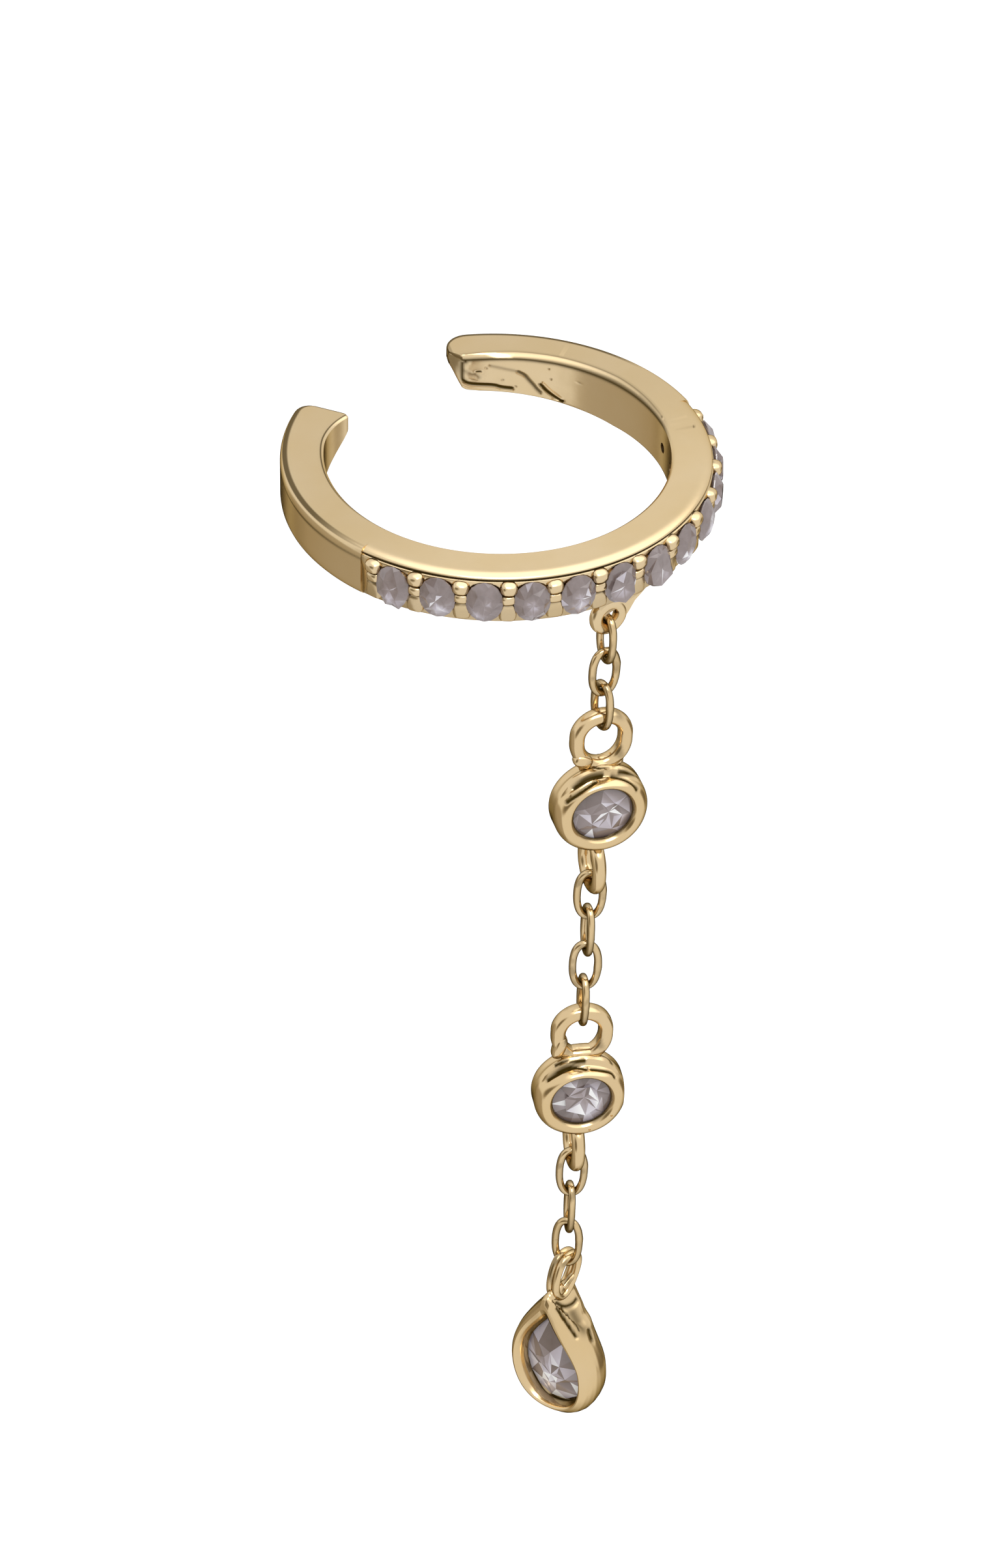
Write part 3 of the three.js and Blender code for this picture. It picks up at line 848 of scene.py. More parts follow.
def buildBand():
    core = cutMesh("band_core", meshOf("band_core", [bandBody()]), [seatCutter(a) for a in stoneAngles])
    extras = []
    for i, angle in enumerate(beadAngles):
        for k, prong in enumerate(prongs):
            block = blob(prong["half"], prong["power"])
            lean = math.radians(5 * math.sin(i * 1.9 + k * 2.2))
            shift = 0.02 * math.sin(i * 2.7 + k)
            block = moved(block, Matrix.Rotation(lean, 4, "X"))
            extras.append(outward(block, angle + shift * 6, prong["height"] + shift, floorRadius - 0.02))
    rounded = bentWire(loopOutline(loop["outer"], loop["outer"], loop["wire"], 48), loop["visualWire"], 18)
    extras.append(moved(rounded, loopPlace))
    extras.append(moved(solderWeb(), loopPlace))
    mesh = joinMeshes("cuff_ring", [core, meshOf("band_extras", extras)])
    paintShade(mesh, bandPaintedShade)
    return mesh


addPiece("cuff_ring", buildBand(), bandGold, "cuff", ["cuff_band"], 32)
print("stage: ring built")


# a brilliant cut facing -Y; outlineAt gives the girdle's edge at a turn, for round or pear stones
def brilliant(outlineAt, crown, girdle, pavilion, table, lift=(0, 0), loose=0, seed=1):
    chance = random.Random(seed)

    def ring(count, offset, share, depth, towards=(0, 0)):
        points = []
        for k in range(count):
            stray = chance.uniform(-loose, loose) if share < 1 else 0
            edge = outlineAt(2 * math.pi * (k + offset + stray) / count)
            share = share * (1 + chance.uniform(-loose, loose) * 0.5) if share < 1 else 1
            x, z = [e * share + t * (1 - share) for e, t in zip(edge, towards)]
            points.append(Vector((x, -depth, z)))
        return points

    tableRing = ring(8, 0, table, crown, lift)
    middle = Vector((lift[0], -crown, lift[1]))
    starRing = ring(8, 0.5, (1 + table) / 2 * 0.98, crown * 0.58, lift)
    upper = ring(16, 0, 1, girdle)
    lower = ring(16, 0, 1, 0)
    breakRing = ring(8, 0.5, 0.42, -pavilion * 0.62, lift)
    culet = Vector((lift[0], pavilion, lift[1]))
    # the table shows the pavilion's shards through it
    shards = ring(8, 0.5, table * 0.45, crown, lift)
    verts = [middle] + tableRing + starRing + upper + lower + breakRing + [culet] + shards
    t0, s0, u0, l0, b0, c0, h0 = 1, 9, 17, 33, 49, 57, 58
    faces = []
    for k in range(8):
        after = (k + 1) % 8
        before = (k - 1) % 8
        faces.append((0, h0 + before, t0 + k))
        faces.append((0, t0 + k, h0 + k))
        faces.append((h0 + k, t0 + k, t0 + after))
        faces.append((t0 + k, s0 + k, t0 + after))
        faces.append((t0 + k, s0 + before, u0 + 2 * k, s0 + k))
        faces.append((s0 + k, u0 + 2 * k, u0 + 2 * k + 1))
        faces.append((s0 + k, u0 + 2 * k + 1, u0 + (2 * k + 2) % 16))
        faces.append((b0 + k, l0 + 2 * k + 1, l0 + 2 * k))
        faces.append((b0 + k, l0 + (2 * k + 2) % 16, l0 + 2 * k + 1))
        faces.append((c0, b0 + before, l0 + 2 * k, b0 + k))
    for k in range(16):
        side = (k + 1) % 16
        faces.append((u0 + k, l0 + k, l0 + side, u0 + side))
    return verts, faces


# tones of the facets: some chance per facet with painted glints, painted shade that leaves them lighter
# towards the foot and darker at the edge, and soft patches of painted highlight and shade
def toneFacets(mesh, toLocal, tall, look, seed):
    chance = random.Random(seed)
    tones = []
    for face in mesh.polygons:
        own = chance.uniform(-1, 1) * look["spread"]
        if chance.random() < look["glints"]:
            own += 0.5
        for index in face.vertices:
            spot = (toLocal @ mesh.vertices[index].co) / tall
            tone = look["base"] - look["rise"] * spot.z + own
            for x, z, size, light in look["highlightAndShadePatches"]:
                tone += light * bell(math.hypot(spot.x - x, spot.z - z), size)
            tone -= look["rim"] * smoothStep(math.hypot(spot.x, spot.z), 0.75, 1)
            tones.append(max(0, min(1, tone)))
    layer = mesh.attributes.new("tone", "FLOAT", "CORNER")
    layer.data.foreach_set("value", tones)


def ovalAt(wide, tall):
    return lambda turn: (wide * math.cos(turn), tall * math.sin(turn))


# row stones: faint tones with a few painted glints, darker towards the top as painted shade
rowTone = {"base": 0.02, "rise": 0.12, "spread": 0.08, "glints": 0.03, "rim": 0}

for i, angle in enumerate(stoneAngles):
    radius = row["diameter"] / 2 * row["stoneGrow"]
    outline = ovalAt(*[radius * share for share in row["stoneOval"]])
    heights = (row["crown"], row["girdle"], row["pavilion"])
    cut = brilliant(outline, *heights, row["table"], (0, 0), row["stray"], 30 + i)
    place = Matrix.Rotation(math.radians(angle + 90), 4, "Z")
    place = Matrix.Translation(onRing(girdleRadius, angle, 0)) @ place
    name = "row_stone_%02d" % (i + 1)
    mesh = meshOf(name, [moved(cut, place)])
    sway = 0.25 * math.sin(i * 2.3)
    # painted highlight low down and in the middle, painted shade at the top under the lip
    highlightAndShadePatches = [(sway, -0.42, 0.26, 0.75), (-sway, 0.15, 0.22, 0.3), (sway * 2, 0.8, 0.4, -0.1)]
    toneFacets(mesh, place.inverted(), radius, dict(rowTone, highlightAndShadePatches=highlightAndShadePatches), 11 + i)
    addPiece("gem_%02d" % (i + 1), mesh, cloudyGem, "cuff", [name], 0)
print("stage: row stones set")


chain = {
    "wire": 0.25,
    "width": 1.05,
    "upper": 1.79,
    "middle": 1.96,
    "lower": 2.07,
    "clearance": 0.03,
    "lean": 1.5,
    "leanHeading": -40,
    "oval": 2.35,
}
turns = {
    "link_a1": 78,
    "link_a2": -15,
    "link_a3": 85,
    "round_setting_1": -23,
    "link_b1": -40,
    "link_b2": 65,
    "link_b3": -40,
    "link_b4": 62,
    "round_setting_2": -29,
    "link_c1": -40,
    "link_c2": 60,
    "link_c3": -55,
    "pear_setting": -80,
}
leanTurn = math.radians(-chain["leanHeading"])
leanAxis = Vector((math.sin(leanTurn), math.cos(leanTurn), 0))
chainSpot = onRing(loop["radius"], row["middle"] + loop["turn"], loopHeight)
chainPlace = Matrix.Translation(chainSpot) @ Matrix.Rotation(math.radians(chain["lean"]), 4, leanAxis)
hangState = {"wire": loop["wire"], "bend": -(loop["outer"] - loop["wire"]) / 2}


# each piece rests in the bend above it; returns where it hangs
def hang(name, wire, reach):
    height = hangState["bend"] + (hangState["wire"] + wire) / 2 + chain["clearance"] - reach
    hangState["bend"] = height - reach
    hangState["wire"] = wire
    turn = Matrix.Rotation(math.radians(turns[name]), 4, "Z")
    return chainPlace @ Matrix.Translation((0, 0, height)) @ turn


# painted shade where two wires touch, and dark noise blotches over the wire
def endShadeAndBlotches(place, reach, width):
    ends = [place @ Vector((0, 0, reach)), place @ Vector((0, 0, -reach))]

    def shadeAndBlotchAt(point):
        gap = min((end - point).length for end in ends)
        blotch = 0.45 * smoothStep(noise.noise(point * 2.6), 0.05, 0.5)
        return max(blotch, 0.85 * bell(gap, width))

    return shadeAndBlotchAt


def addLink(name, length, seam):
    def swell(share):
        apart = abs((share - seam + 0.5) % 1 - 0.5)
        return 1 + 0.07 * bell(apart, 0.02) + 0.03 * math.sin(share * 19 + seam)

    reach = (length - chain["wire"]) / 2
    place = hang(name, chain["wire"], reach)
    outline = loopOutline(chain["width"], length, chain["wire"], 60, chain["oval"])
    mesh = meshOf(name, [moved(bentWire(outline, chain["wire"], 16, 0.94, 2.2, swell), place)])
    paintShade(mesh, endShadeAndBlotches(place, reach - chain["wire"] * 0.55, 0.15))
    addPiece("wire_" + name, mesh, chainGold, "cuff", [name], 0)
    mesh.shade_smooth()


setting = {
    "diameter": 3.0,
    "depth": 1.2,
    "forward": 0.3,
    "open": 1.9,
    "lip": 0.16,
    "stone": 2.02,
    "crown": 0.3,
    "girdle": 0.05,
    "pavilion": 0.62,
    "clearance": 0.05,
    "backHole": 0.9,
    "loopWide": 1.95,
    "loopLong": 2.1,
    "loopWire": 0.44,
}
settingLooks = [
    {
        "name": "round_setting_1",
        "sink": 0.12,
        "boxy": 2.2,
        "flat": None,
        "pits": [],
        "turn": 12,
        "eye": (0.12, 0.16),
        "butt": {"place": (-0.57, -0.14, -0.7), "half": (0.32, 0.23, 0.22), "turn": 28},
        # grooves over the rim's top, each with the painted shade along it
        "marks": [
            {"path": [(133, 0.22), (120, 0.19), (108, 0.19), (91, 0.2)],
             "wide": 0.05, "deep": 0.035, "paintedShade": 0.95},
            {"path": [(151, 0.42), (133, 0.46), (113, 0.4), (103, 0.35)],
             "wide": 0.065, "deep": 0.05, "paintedShade": 1},
            {"path": [(140, 0.33), (120, 0.31), (106, 0.28)], "wide": 0.05, "deep": -0.03, "paintedShade": 0},
            {"path": [(78, 0.25), (64, 0.29), (50, 0.38), (39, 0.5)],
             "wide": 0.06, "deep": 0.045, "paintedShade": 1},
            {"path": [(108, -0.1), (94, 0.06), (82, 0.1)], "wide": 0.05, "deep": 0.035, "paintedShade": 0.9},
            {"path": [(69, 0.16), (50, 0.14), (27, 0)], "wide": 0.045, "deep": 0.03, "paintedShade": 0.85},
        ],
        # stone tones with painted glints, painted highlights and shade, and a painted dark edge
        "tone": {"base": 0.3, "rise": 0.02, "spread": 0.36, "glints": 0.2, "rim": 0.4, "highlightAndShadePatches": [
            (0, -0.25, 0.45, 0.2), (-0.35, 0.5, 0.3, 0.2), (0.5, 0.4, 0.35, -0.16), (-0.7, 0.4, 0.25, -0.15),
            (-0.8, -0.45, 0.16, 0.5), (0.68, -0.02, 0.14, 0.5), (-0.5, -0.1, 0.2, -0.15),
        ]},
    },
    {
        "name": "round_setting_2",
        "sink": 0.25,
        "boxy": 3.2,
        "flat": (0, 1.38),
        "pits": [(-32, 1.15), (-76, 1.16)],
        "turn": 40,
        "eye": (-0.1, 0.2),
        "butt": {"place": (-0.7, -0.1, -0.48), "half": (0.21, 0.25, 0.44), "turn": 16},
        "marks": [
            {"path": [(143, 0.25), (129, 0.23), (117, 0.2), (101, 0.23), (86, 0.36)],
             "wide": 0.065, "deep": 0.05, "paintedShade": 1},
            {"path": [(78, 0.36), (62, 0.36), (46, 0.32), (40, 0.43)],
             "wide": 0.06, "deep": 0.045, "paintedShade": 1},
            {"path": [(124, 0.04), (115, 0.05), (100, 0.14), (87, 0.14)],
             "wide": 0.055, "deep": 0.04, "paintedShade": 0.95},
            {"path": [(103, -0.12), (92, -0.08), (76, -0.09), (57, -0.15), (48, 0.08)],
             "wide": 0.05, "deep": 0.03, "paintedShade": 0.9},
        ],
        # stone tones with painted glints, painted highlights and shade, and a painted dark edge
        "tone": {"base": 0.28, "rise": 0.03, "spread": 0.38, "glints": 0.22, "rim": 0.4, "highlightAndShadePatches": [
            (0.2, -0.3, 0.42, 0.25), (-0.35, 0.65, 0.28, 0.25), (0.15, 0.45, 0.35, -0.16),
            (-0.5, -0.25, 0.3, -0.12), (-0.85, 0, 0.15, 0.5), (0.8, 0.1, 0.16, 0.5), (0.5, -0.05, 0.12, 0.4),
        ]},
    },
]


def addSetting(look):
    r = setting["diameter"] / 2
    perDegree = math.radians(1.4)
    for mark in look["marks"]:
        mark["line"] = softened([Vector((a * perDegree, d)) for a, d in mark["path"]])

    def marksAt(x, depth, z):
        turn = math.degrees(math.atan2(z, x))
        return markState(Vector(((turn if turn > -90 else turn + 360) * perDegree, depth)), look["marks"])

    front = setting["depth"] / 2
    opening = setting["open"] / 2
    room = setting["stone"] / 2 + setting["clearance"]
    back = setting["backHole"] / 2
    girdle = front - setting["lip"] - setting["clearance"] - setting["girdle"]
    profile = [(back, -front), (back + 0.2, -front)]
    profile += arc(r - 0.24, -front + 0.24, 0.24, 0.24, 270, 360, 6)
    profile += [(r, -front + 0.3 + 0.03 * i) for i in range(13)]
    profile += arc(r - 0.35, front - 0.5, 0.35, 0.5, 4, 86, 26)
    profile += [(opening + 0.2, front), (opening + 0.13, front - 0.012), (opening + 0.08, front - 0.05)]
    profile += [(opening + 0.03, front - 0.12), (opening, front - 0.19), (room, front - 0.2)]
    profile += [(room, girdle - setting["clearance"])]
    profile += [(back, girdle - setting["pavilion"] - setting["clearance"])]

    # how strongly the cast steps over the rim's top show at a turn
    def stepShare(turn):
        up = (math.degrees(turn) - 94 + 180) % 360 - 180
        return math.exp(-((abs(up) / 52) ** 4))

    def shape(point, turn):
        x, y, z = point
        away = math.hypot(x, z)
        if away > opening + 0.16:
            high = stepShare(turn)
            cut = 0.2 * smoothStep(y, 0.12, 0.24) * high
            ridge = 0.05 * bell(y + 0.02, 0.09) * high
            wave = 0.012 * noise.noise(Vector((x * 1.1, y * 1.5, z * 1.1)))
            floor = opening + 0.16
            pushed = floor + (away - floor) * (1 - cut / max(0.05, r - floor)) + ridge + wave
            pushed -= marksAt(x, y, z)[0] * smoothStep(away, opening + 0.16, opening + 0.3)
            x *= pushed / away
            z *= pushed / away
        if look["flat"]:
            side = math.radians(look["flat"][0])
            over = x * math.cos(side) + z * math.sin(side) - look["flat"][1]
            if over > 0:
                x -= over * math.cos(side) * 0.9
                z -= over * math.sin(side) * 0.9
        return Vector((x, -(y + setting["forward"]), z))

    cup = joinRings(turnedBody(profile, 200, shape), True)
    mesh = meshOf(look["name"], [cup])
    if look["pits"]:
        pits = []
        for turn, away in look["pits"]:
            spot = onRing(away, turn, 0)
            spot = Vector((spot.x, 0.02 - front - setting["forward"], spot.y))
            pits.append(moved(blob((0.045, 0.05, 0.04), 2, 10, 8), Matrix.Translation(spot)))
        mesh = cutMesh(look["name"], mesh, pits)
    centre = r + setting["loopLong"] / 2 - look["sink"]
    reach = centre + (setting["loopLong"] - setting["loopWire"]) / 2
    outline = loopOutline(setting["loopWide"], setting["loopLong"], setting["loopWire"], 64)
    # the foot of the upper loop sinks into the cup
    sunk = [(x * 1.02, z if z > 0 else z * 1.17) for x, z in outline]
    top = bentWire(sunk, setting["loopWire"] * 1.05, 20, 1.2, look["boxy"])
    bottom = moved(bentWire(outline, setting["loopWire"], 20), Matrix.Rotation(math.pi / 2, 4, "Z"))
    butt = look["butt"]
    buttPlace = Matrix.Translation(Vector(butt["place"]) + Vector((0, 0, centre)))
    buttPlace = buttPlace @ Matrix.Rotation(math.radians(butt["turn"]), 4, "Y")
    extras = [
        moved(top, Matrix.Translation((0.03, 0, centre - 0.01))),
        moved(bottom, Matrix.Translation((0, 0, -centre))),
        moved(blob(butt["half"], 2.8), buttPlace),
        moved(blob((0.75, 0.3, 0.2), 2.2), Matrix.Translation((0.05, 0, r - 0.04))),
        moved(blob((0.24, 0.5, 0.2), 2.2), Matrix.Translation((0, 0, -r + 0.02))),
    ]
    mesh = joinMeshes(look["name"], [mesh, meshOf("loops", extras)])

    # painted shade on the setting: a dark line inside each loop, dark noise blotches over the loops, a line
    # under the wire's cut end, the seat inside the opening, and the grooves over the rim
    def shadeAndBlotchAt(point):
        x, y, z = point
        away = math.hypot(x, z)
        depth = -y - setting["forward"]
        if z > 0 and away > r + 0.05:
            inside = math.hypot(x, z - centre) - (setting["loopWide"] / 2 - setting["loopWire"])
            blotch = 0.5 * smoothStep(noise.noise(Vector((x, y, z)) * 2.2), 0, 0.5)
            cut = math.hypot(x - butt["place"][0], z - centre - butt["place"][2] + butt["half"][2])
            return max(0.85 * bell(inside, 0.07), blotch, 0.6 * bell(cut, 0.12))
        if away > r + 0.05:
            return 0
        if away < opening + 0.06 and depth > front - 0.3:
            return 0.45 + 0.5 * bell(depth - front + 0.19, 0.05)
        if away > opening + 0.1:
            return marksAt(x, depth, z)[1] * smoothStep(away, opening + 0.1, opening + 0.25)
        return 0

    paintShade(mesh, shadeAndBlotchAt)
    place = hang(look["name"], setting["loopWire"], reach)
    mesh.transform(place)
    addPiece("cast_" + look["name"], mesh, settingGold, "cuff", [look["name"]], 34)
    stoneName = look["name"].replace("setting", "stone")
    depth = setting["forward"] + front - setting["lip"] - setting["clearance"] - setting["girdle"]
    half = setting["stone"] / 2
    outline = ovalAt(half, half)
    heights = (setting["crown"] * 0.75, setting["girdle"], setting["pavilion"])
    cut = brilliant(outline, *heights, 0.5, look["eye"], 0.45, look["turn"])
    seated = Matrix.Translation((0, -depth + 0.03, 0)) @ Matrix.Rotation(math.radians(look["turn"]), 4, "Y")
    gem = meshOf(stoneName, [moved(moved(cut, seated), place)])
    toneFacets(gem, place.inverted(), half, look["tone"], look["turn"])
    addPiece("gem_" + stoneName, gem, clearGem, "cuff", [stoneName], 0)


# the links of each part of the chain, with the place of their seams, and the setting below them
chainParts = [
    ("link_a", chain["upper"], [0.55, 0.03, 0.47], settingLooks[0]),
    ("link_b", chain["middle"], [0.02, 0.5, 0.98, 0.48], settingLooks[1]),
    ("link_c", chain["lower"], [0.03, 0.5, 0.02], None),
]
for name, length, seams, below in chainParts:
    for i, seam in enumerate(seams):
        addLink(name + str(i + 1), length, seam)
    if below:
        addSetting(below)
print("stage: chain and round settings hung")


pear = {
    "width": 2.95,
    "below": 1.8,
    "above": 3.3,
    "depth": 1.66,
    "forward": 0.26,
    "tipRim": 2.6,
    "loopWide": 1.65,
    "loopWire": 0.36,
    "loopSink": 0.3,
    "crown": 0.34,
    "girdle": 0.06,
    "pavilion": 0.6,
    "stoneInset": 0.4,
}

# rings of the pear's metal from its back round the side to the seat: how far in from the outline and how
# deep behind the front, first for the left side and then for the right
pearRings = [
    (0.42, 1.66, 0.6, 1.66),
    (0.25, 1.64, 0.42, 1.63),
    (0.13, 1.58, 0.26, 1.54),
    (0.05, 1.48, 0.13, 1.42),
    (0.01, 1.36, 0.0, 1.27),
    (0, 1.2, -0.07, 1.08),
    (0, 0.95, -0.12, 0.85),
    (0, 0.7, -0.13, 0.62),
    (0, 0.45, -0.08, 0.42),
    (0.02, 0.25, 0.0, 0.25),
    (0.07, 0.1, 0.12, 0.13),
    (0.15, 0.02, 0.18, 0.08),
    (0.22, 0.0, 0.23, 0.09),
    (0.3, 0.05, 0.28, 0.15),
    (0.38, 0.17, 0.31, 0.25),
    (0.44, 0.32, 0.33, 0.38),
    (0.46, 0.46, 0.34, 0.47),
    (0.4, 0.48, 0.3, 0.49),
    (0.4, 0.62, 0.3, 0.62),
    (0.95, 1.2, 0.95, 1.2),
    (0.95, 1.66, 0.95, 1.66),
]


def curvePoint(points, t):
    a, b, c, d = points
    s = 1 - t
    return a * s**3 + b * 3 * s * s * t + c * 3 * s * t * t + d * t**3


def pearEdge(inset, count=26):
    w = pear["width"] / 2 - inset
    low = pear["below"] - inset * 0.85
    high = pear["above"] - inset * pear["tipRim"]
    right = [
        [(0, -low), (w * 0.56, -low), (w, -low * 0.56), (w, 0)],
        [(w, 0), (w, high * 0.42), (w * 0.36, high * 0.76), (w * 0.12, high * 0.96)],
        [(w * 0.12, high * 0.96), (w * 0.07, high * 0.985), (w * 0.03, high), (0, high)],
    ]
    edge = []
    for segment, share in zip(right, (0.36, 0.52, 0.12)):
        steps = max(2, round(count * share))
        curve = [Vector(p) for p in segment]
        edge += [curvePoint(curve, k / steps) for k in range(steps)]
    mirror = [Vector((-p.x, p.y)) for p in edge[1:]]
    return edge + [Vector((0, high))] + mirror[::-1]


# marks on the pear's right side, as (depth, height), with width, depth and painted shade; the wide last one
# is a patch of painted shade only
pearMarks = [
    {"path": [(0.29, 2.8), (0.35, 2.51), (0.41, 2.17), (0.47, 1.84)],
     "wide": 0.065, "deep": 0.06, "paintedShade": 1},
    {"path": [(0.56, 2.66), (0.6, 2.44), (0.66, 2.11), (0.68, 1.94)],
     "wide": 0.045, "deep": 0.03, "paintedShade": 0.9},
    {"path": [(1.07, 1.72), (0.99, 1.5)], "wide": 0.09, "deep": 0.05, "paintedShade": 1},
    {"path": [(0.44, 2.86), (0.65, 2.6), (1.03, 2.52), (1.24, 2.56)],
     "wide": 0.08, "deep": 0.05, "paintedShade": 0.8},
    {"path": [(0.85, 2.3), (0.85, 1.95)], "wide": 0.24, "deep": 0, "paintedShade": 0.5},
]
for mark in pearMarks:
    mark["line"] = softened([Vector(p) for p in mark["path"]])


# marks lie on the pear's right side only
def pearMarksAt(x, depth, z):
    return markState(Vector((depth, z)), pearMarks) if x > 0.1 else (0, 0)


# the low right side stands fuller than the left
def fuller(x, z):
    return 0.24 * smoothStep(x, 0, 1.2) * smoothStep(1.9 - z, 0, 1.4)


# the scooped facet high on the right side: its groove, and how deep it lies there
def scoopLine(z):
    return 0.3 + (2.85 - z) * 0.5


def scoopDepth(x, depth, z):
    if x < 0:
        return 0
    inside = smoothStep(depth - scoopLine(z), 0.0, 0.1) * smoothStep(z, 1.75, 2.15)
    return 0.14 * inside * smoothStep(3.3 - z, 0.05, 0.4)


def pearBody():
    front = pear["forward"] + pear["depth"] / 2
    fine = []
    for a, b in zip(pearRings, pearRings[1:]):
        for share in (0, 0.25, 0.5, 0.75):
            fine.append([p + (q - p) * share for p, q in zip(a, b)])
    fine.append(pearRings[-1])
    rings = []
    for leftIn, leftDeep, rightIn, rightDeep in fine:
        leftEdge = pearEdge(leftIn, 120)
        rightEdge = pearEdge(rightIn, 120)
        ring = []
        for a, b in zip(leftEdge, rightEdge):
            share = smoothStep(a.x * 0.85 - a.y * 0.35, -0.5, 0.8)
            flat = a.lerp(b, share)
            deep = leftDeep + (rightDeep - leftDeep) * share
            if leftIn < 0.3:
                push = scoopDepth(flat.x, deep, flat.y) + pearMarksAt(flat.x, deep, flat.y)[0]
                flat = flat - Vector((0.93, 0.36)) * push
            ring.append(Vector((flat.x + fuller(flat.x, flat.y), deep - front, flat.y)))
        rings.append(ring)
    return joinRings(rings, True)


def addPear():
    front = pear["forward"] + pear["depth"] / 2
    bend = chainPlace @ Vector((0, 0, hangState["bend"]))
    centre = pear["above"] + pear["loopWide"] / 2 - pear["loopSink"]
    wireTop = centre + (pear["loopWide"] - pear["loopWire"]) / 2
    height = (hangState["wire"] + pear["loopWire"]) / 2 + chain["clearance"] - wireTop
    turn = Matrix.Rotation(math.radians(turns["pear_setting"]), 4, "Z")
    place = Matrix.Translation(bend) @ turn @ Matrix.Translation((0, 0, height))
    drop = 0.3
    outline = []
    for x, z in loopOutline(pear["loopWide"] * 0.92, pear["loopWide"] + drop, pear["loopWire"], 64, 2.1):
        below = smoothStep(-z, -0.9, 1.0)
        outline.append((x * (1 - 0.22 * below), z))
    # the loop is two strands side by side, with a third lying across them
    strands = []
    for aside in (-0.12, 0.12):
        ring = bentWire(outline, pear["loopWire"] * 0.74, 18)
        hung = Matrix.Translation((aside, 0, centre - drop / 2)) @ Matrix.Rotation(math.pi / 2, 4, "Z")
        verts, faces = moved(ring, hung)
        verts = [Vector((v.x, v.y - 0.24 * smoothStep(wireTop - v.z, 0.2, 1.6), v.z)) for v in verts]
        strands.append((verts, faces))
    crossing = moved(blob((0.11, 0.44, 0.1), 2.2), Matrix.Rotation(math.radians(24), 4, "X"))
    strands.append(moved(crossing, Matrix.Translation((0.1, 0.08, centre - drop / 2 - 0.32))))
    solder = moved(blob((0.2, 0.42, 0.26), 2.3), Matrix.Translation((0, -0.45, pear["above"] - 0.2)))
    body = meshOf("pear_setting", [pearBody()])
    mesh = joinMeshes("pear_setting", [body, meshOf("pear_loop", strands + [solder])])

    # painted shade on the pear: dark noise blotches over the loop, the seat inside the opening, and the marks
    # on the right side
    def shadeAndBlotchAt(point):
        x, y, z = point
        depth = y + front
        if z > pear["above"] + 0.02:
            return 0.6 * smoothStep(noise.noise(Vector((x * 4, y * 2, z * 1.4))), 0, 0.4)
        half = max(0, min(1.475, (3.3 - z) * 0.62))
        if 0.2 < depth < 0.66 and -half + 0.3 < x < half + fuller(half, z) - 0.24:
            return 0.3 + 0.4 * smoothStep(depth, 0.36, 0.48)
        return pearMarksAt(x, depth, z)[1]

    paintShade(mesh, shadeAndBlotchAt)
    mesh.transform(place)
    addPiece("cast_pear", mesh, settingGold, "pear_drop", ["pear_setting"], 34)
    edge = pearEdge(pear["stoneInset"], 64)
    turnsOf = [math.atan2(p.y, p.x) for p in edge]

    def edgeAt(turn):
        turn = (turn + math.pi) % math.tau - math.pi
        apart = [abs((other - turn + math.pi) % math.tau - math.pi) for other in turnsOf]
        x, z = edge[apart.index(min(apart))]
        return (x + fuller(x, z) * 1.3, z)

    heights = (pear["crown"] * 0.8, pear["girdle"], pear["pavilion"])
    cut = brilliant(edgeAt, *heights, 0.55, (0.12, -0.35), 0.4, 7)
    cut = moved(cut, Matrix.Translation((0, -front + 0.6, 0)))
    gem = meshOf("pear_stone", [moved(cut, place)])
    # stone tones with painted glints, painted highlights and painted shade
    tone = {"base": 0.34, "rise": 0.05, "spread": 0.36, "glints": 0.2, "rim": 0, "highlightAndShadePatches": [
        (-0.1, -0.3, 0.3, 0.3), (0.5, -0.35, 0.14, 0.5), (0.05, 0.62, 0.14, 0.35), (-0.45, 0.3, 0.2, 0.15),
        (0.1, 0.15, 0.3, -0.12), (0.3, 0.05, 0.12, 0.3),
    ]}
    toneFacets(gem, place.inverted(), 2.2, tone, 21)
    addPiece("gem_pear", gem, clearGem, "pear_drop", ["pear_stone"], 0)


addPear()
print("stage: pear drop hung")


stage = {
    "floor": -0.045,
    "floorColor": (0.93, 0.93, 0.93),
    "floorReach": 2.5,
    "lamp": {"place": (-0.12, -0.16, 0.3), "aim": (0, -0.004, -0.015), "size": 0.16, "power": 0.35},
}


def buildFloor():
    mesh = bpy.data.meshes.new("floor")
    reach = stage["floorReach"]
    corners = [(-reach, -reach, 0), (reach, -reach, 0), (reach, reach, 0), (-reach, reach, 0)]
    mesh.from_pydata(corners, [], [(0, 1, 2, 3)])
    floor = bpy.data.objects.new("floor", mesh)
    floor.location = (0, 0, stage["floor"])
    bpy.context.scene.collection.objects.link(floor)
    paper = bpy.data.materials.new("floor_paper")
    paper.use_nodes = True
    shader = paper.node_tree.nodes["Principled BSDF"]
    shader.inputs["Base Color"].default_value = (*stage["floorColor"], 1)
    shader.inputs["Roughness"].default_value = 0.9
    mesh.materials.append(paper)
    floor.visible_glossy = False
    floor.visible_transmission = False


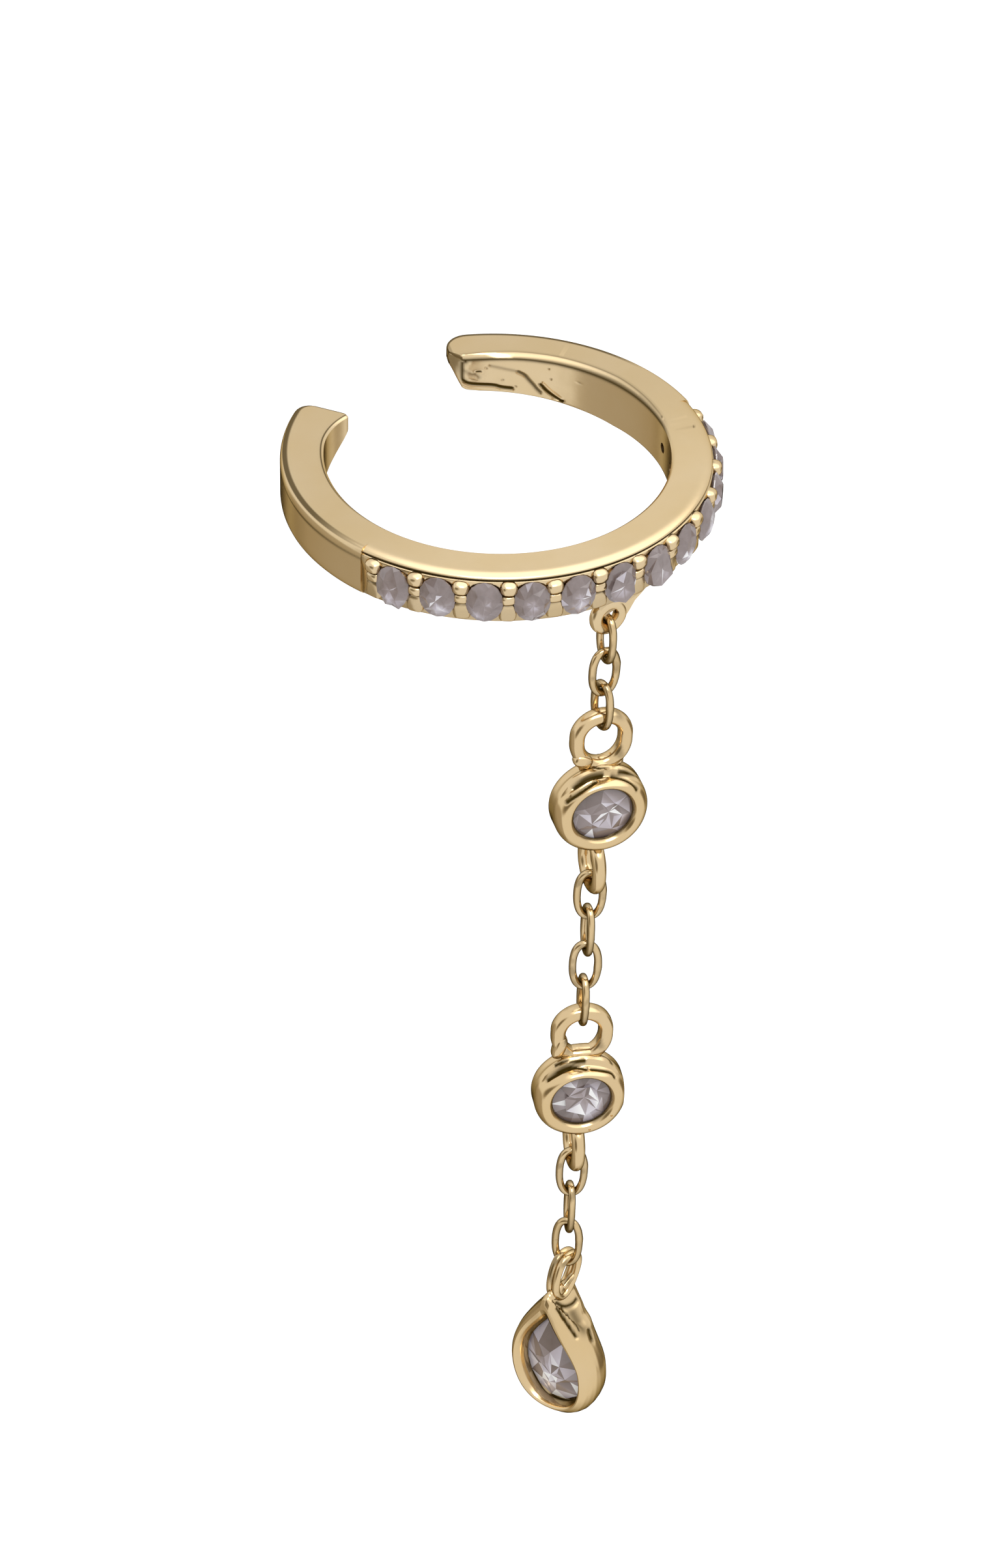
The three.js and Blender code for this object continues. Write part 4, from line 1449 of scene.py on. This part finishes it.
# light tent: a pale all-round glow with a bright top, and dark patches that the metal picks up
tent = {
    "base": 1.06,
    "warmBelow": 0.4,
    "warmTint": (0.8, 0.70, 0.52),
    "plainTint": (0.8, 0.8, 0.8),
    "lobes": [
        {"way": (0.2, -0.2, 0.96), "inner": 34, "outer": 50, "light": 2.1},
        {"way": (-0.55, 0.55, -0.62), "inner": 31, "outer": 38, "light": 0.56},
        {"way": (0.509, 0.604, -0.614), "inner": 12, "outer": 28, "light": 0.06},
        {"way": (-0.95, -0.1, 0.05), "inner": 8, "outer": 30, "light": 0.25},
        {"way": (0.9, -0.3, -0.3), "inner": 8, "outer": 24, "light": 0.3},
    ],
}


def buildTent():
    world = bpy.data.worlds.new("light_tent")
    bpy.context.scene.world = world
    tree = emptyTree(world)
    output = addNode(tree, "OutputWorld")
    glow = addNode(tree, "Background")
    place = addNode(tree, "TexCoord")
    value = None
    for lobe in tent["lobes"]:
        near, far = [math.cos(math.radians(lobe[key])) for key in ("inner", "outer")]
        dot = addNode(tree, "VectorMath", {1: Vector(lobe["way"]).normalized()}, operation="DOT_PRODUCT")
        reach = {"From Min": far, "From Max": near}
        share = addNode(tree, "MapRange", reach, interpolation_type="SMOOTHSTEP")
        mix = addNode(tree, "Mix", {"A": tent["base"], "B": lobe["light"]})
        connect(
            tree,
            (place, "Generated", dot, 0),
            (dot, "Value", share, "Value"),
            (share, "Result", mix, "Factor"),
        )
        if value:
            connect(tree, (value, "Result", mix, "A"))
        value = mix
    warmth = addNode(tree, "MapRange", {"From Min": tent["warmBelow"], "From Max": 1})
    tint = addNode(tree, "Mix", {"A": (*tent["warmTint"], 1), "B": (*tent["plainTint"], 1)}, data_type="RGBA")
    connect(
        tree,
        (value, "Result", warmth, "Value"),
        (warmth, "Result", tint, "Factor"),
        (tint, "Result", glow, "Color"),
        (value, "Result", glow, "Strength"),
        (glow, "Background", output, "Surface"),
    )


def addLamp(name, lamp):
    light = bpy.data.lights.new(name, "AREA")
    light.shape = "SQUARE"
    light.size = lamp["size"]
    light.energy = lamp["power"]
    holder = bpy.data.objects.new(name, light)
    holder.location = lamp["place"]
    aim = Vector(lamp["aim"]) - Vector(lamp["place"])
    holder.rotation_euler = aim.to_track_quat("-Z", "Y").to_euler()
    bpy.context.scene.collection.objects.link(holder)


buildFloor()
buildTent()
addLamp("key_light", stage["lamp"])
bpy.context.scene.view_settings.view_transform = "Standard"
bpy.context.scene.view_settings.look = "None"
print("stage: tent and floor ready")
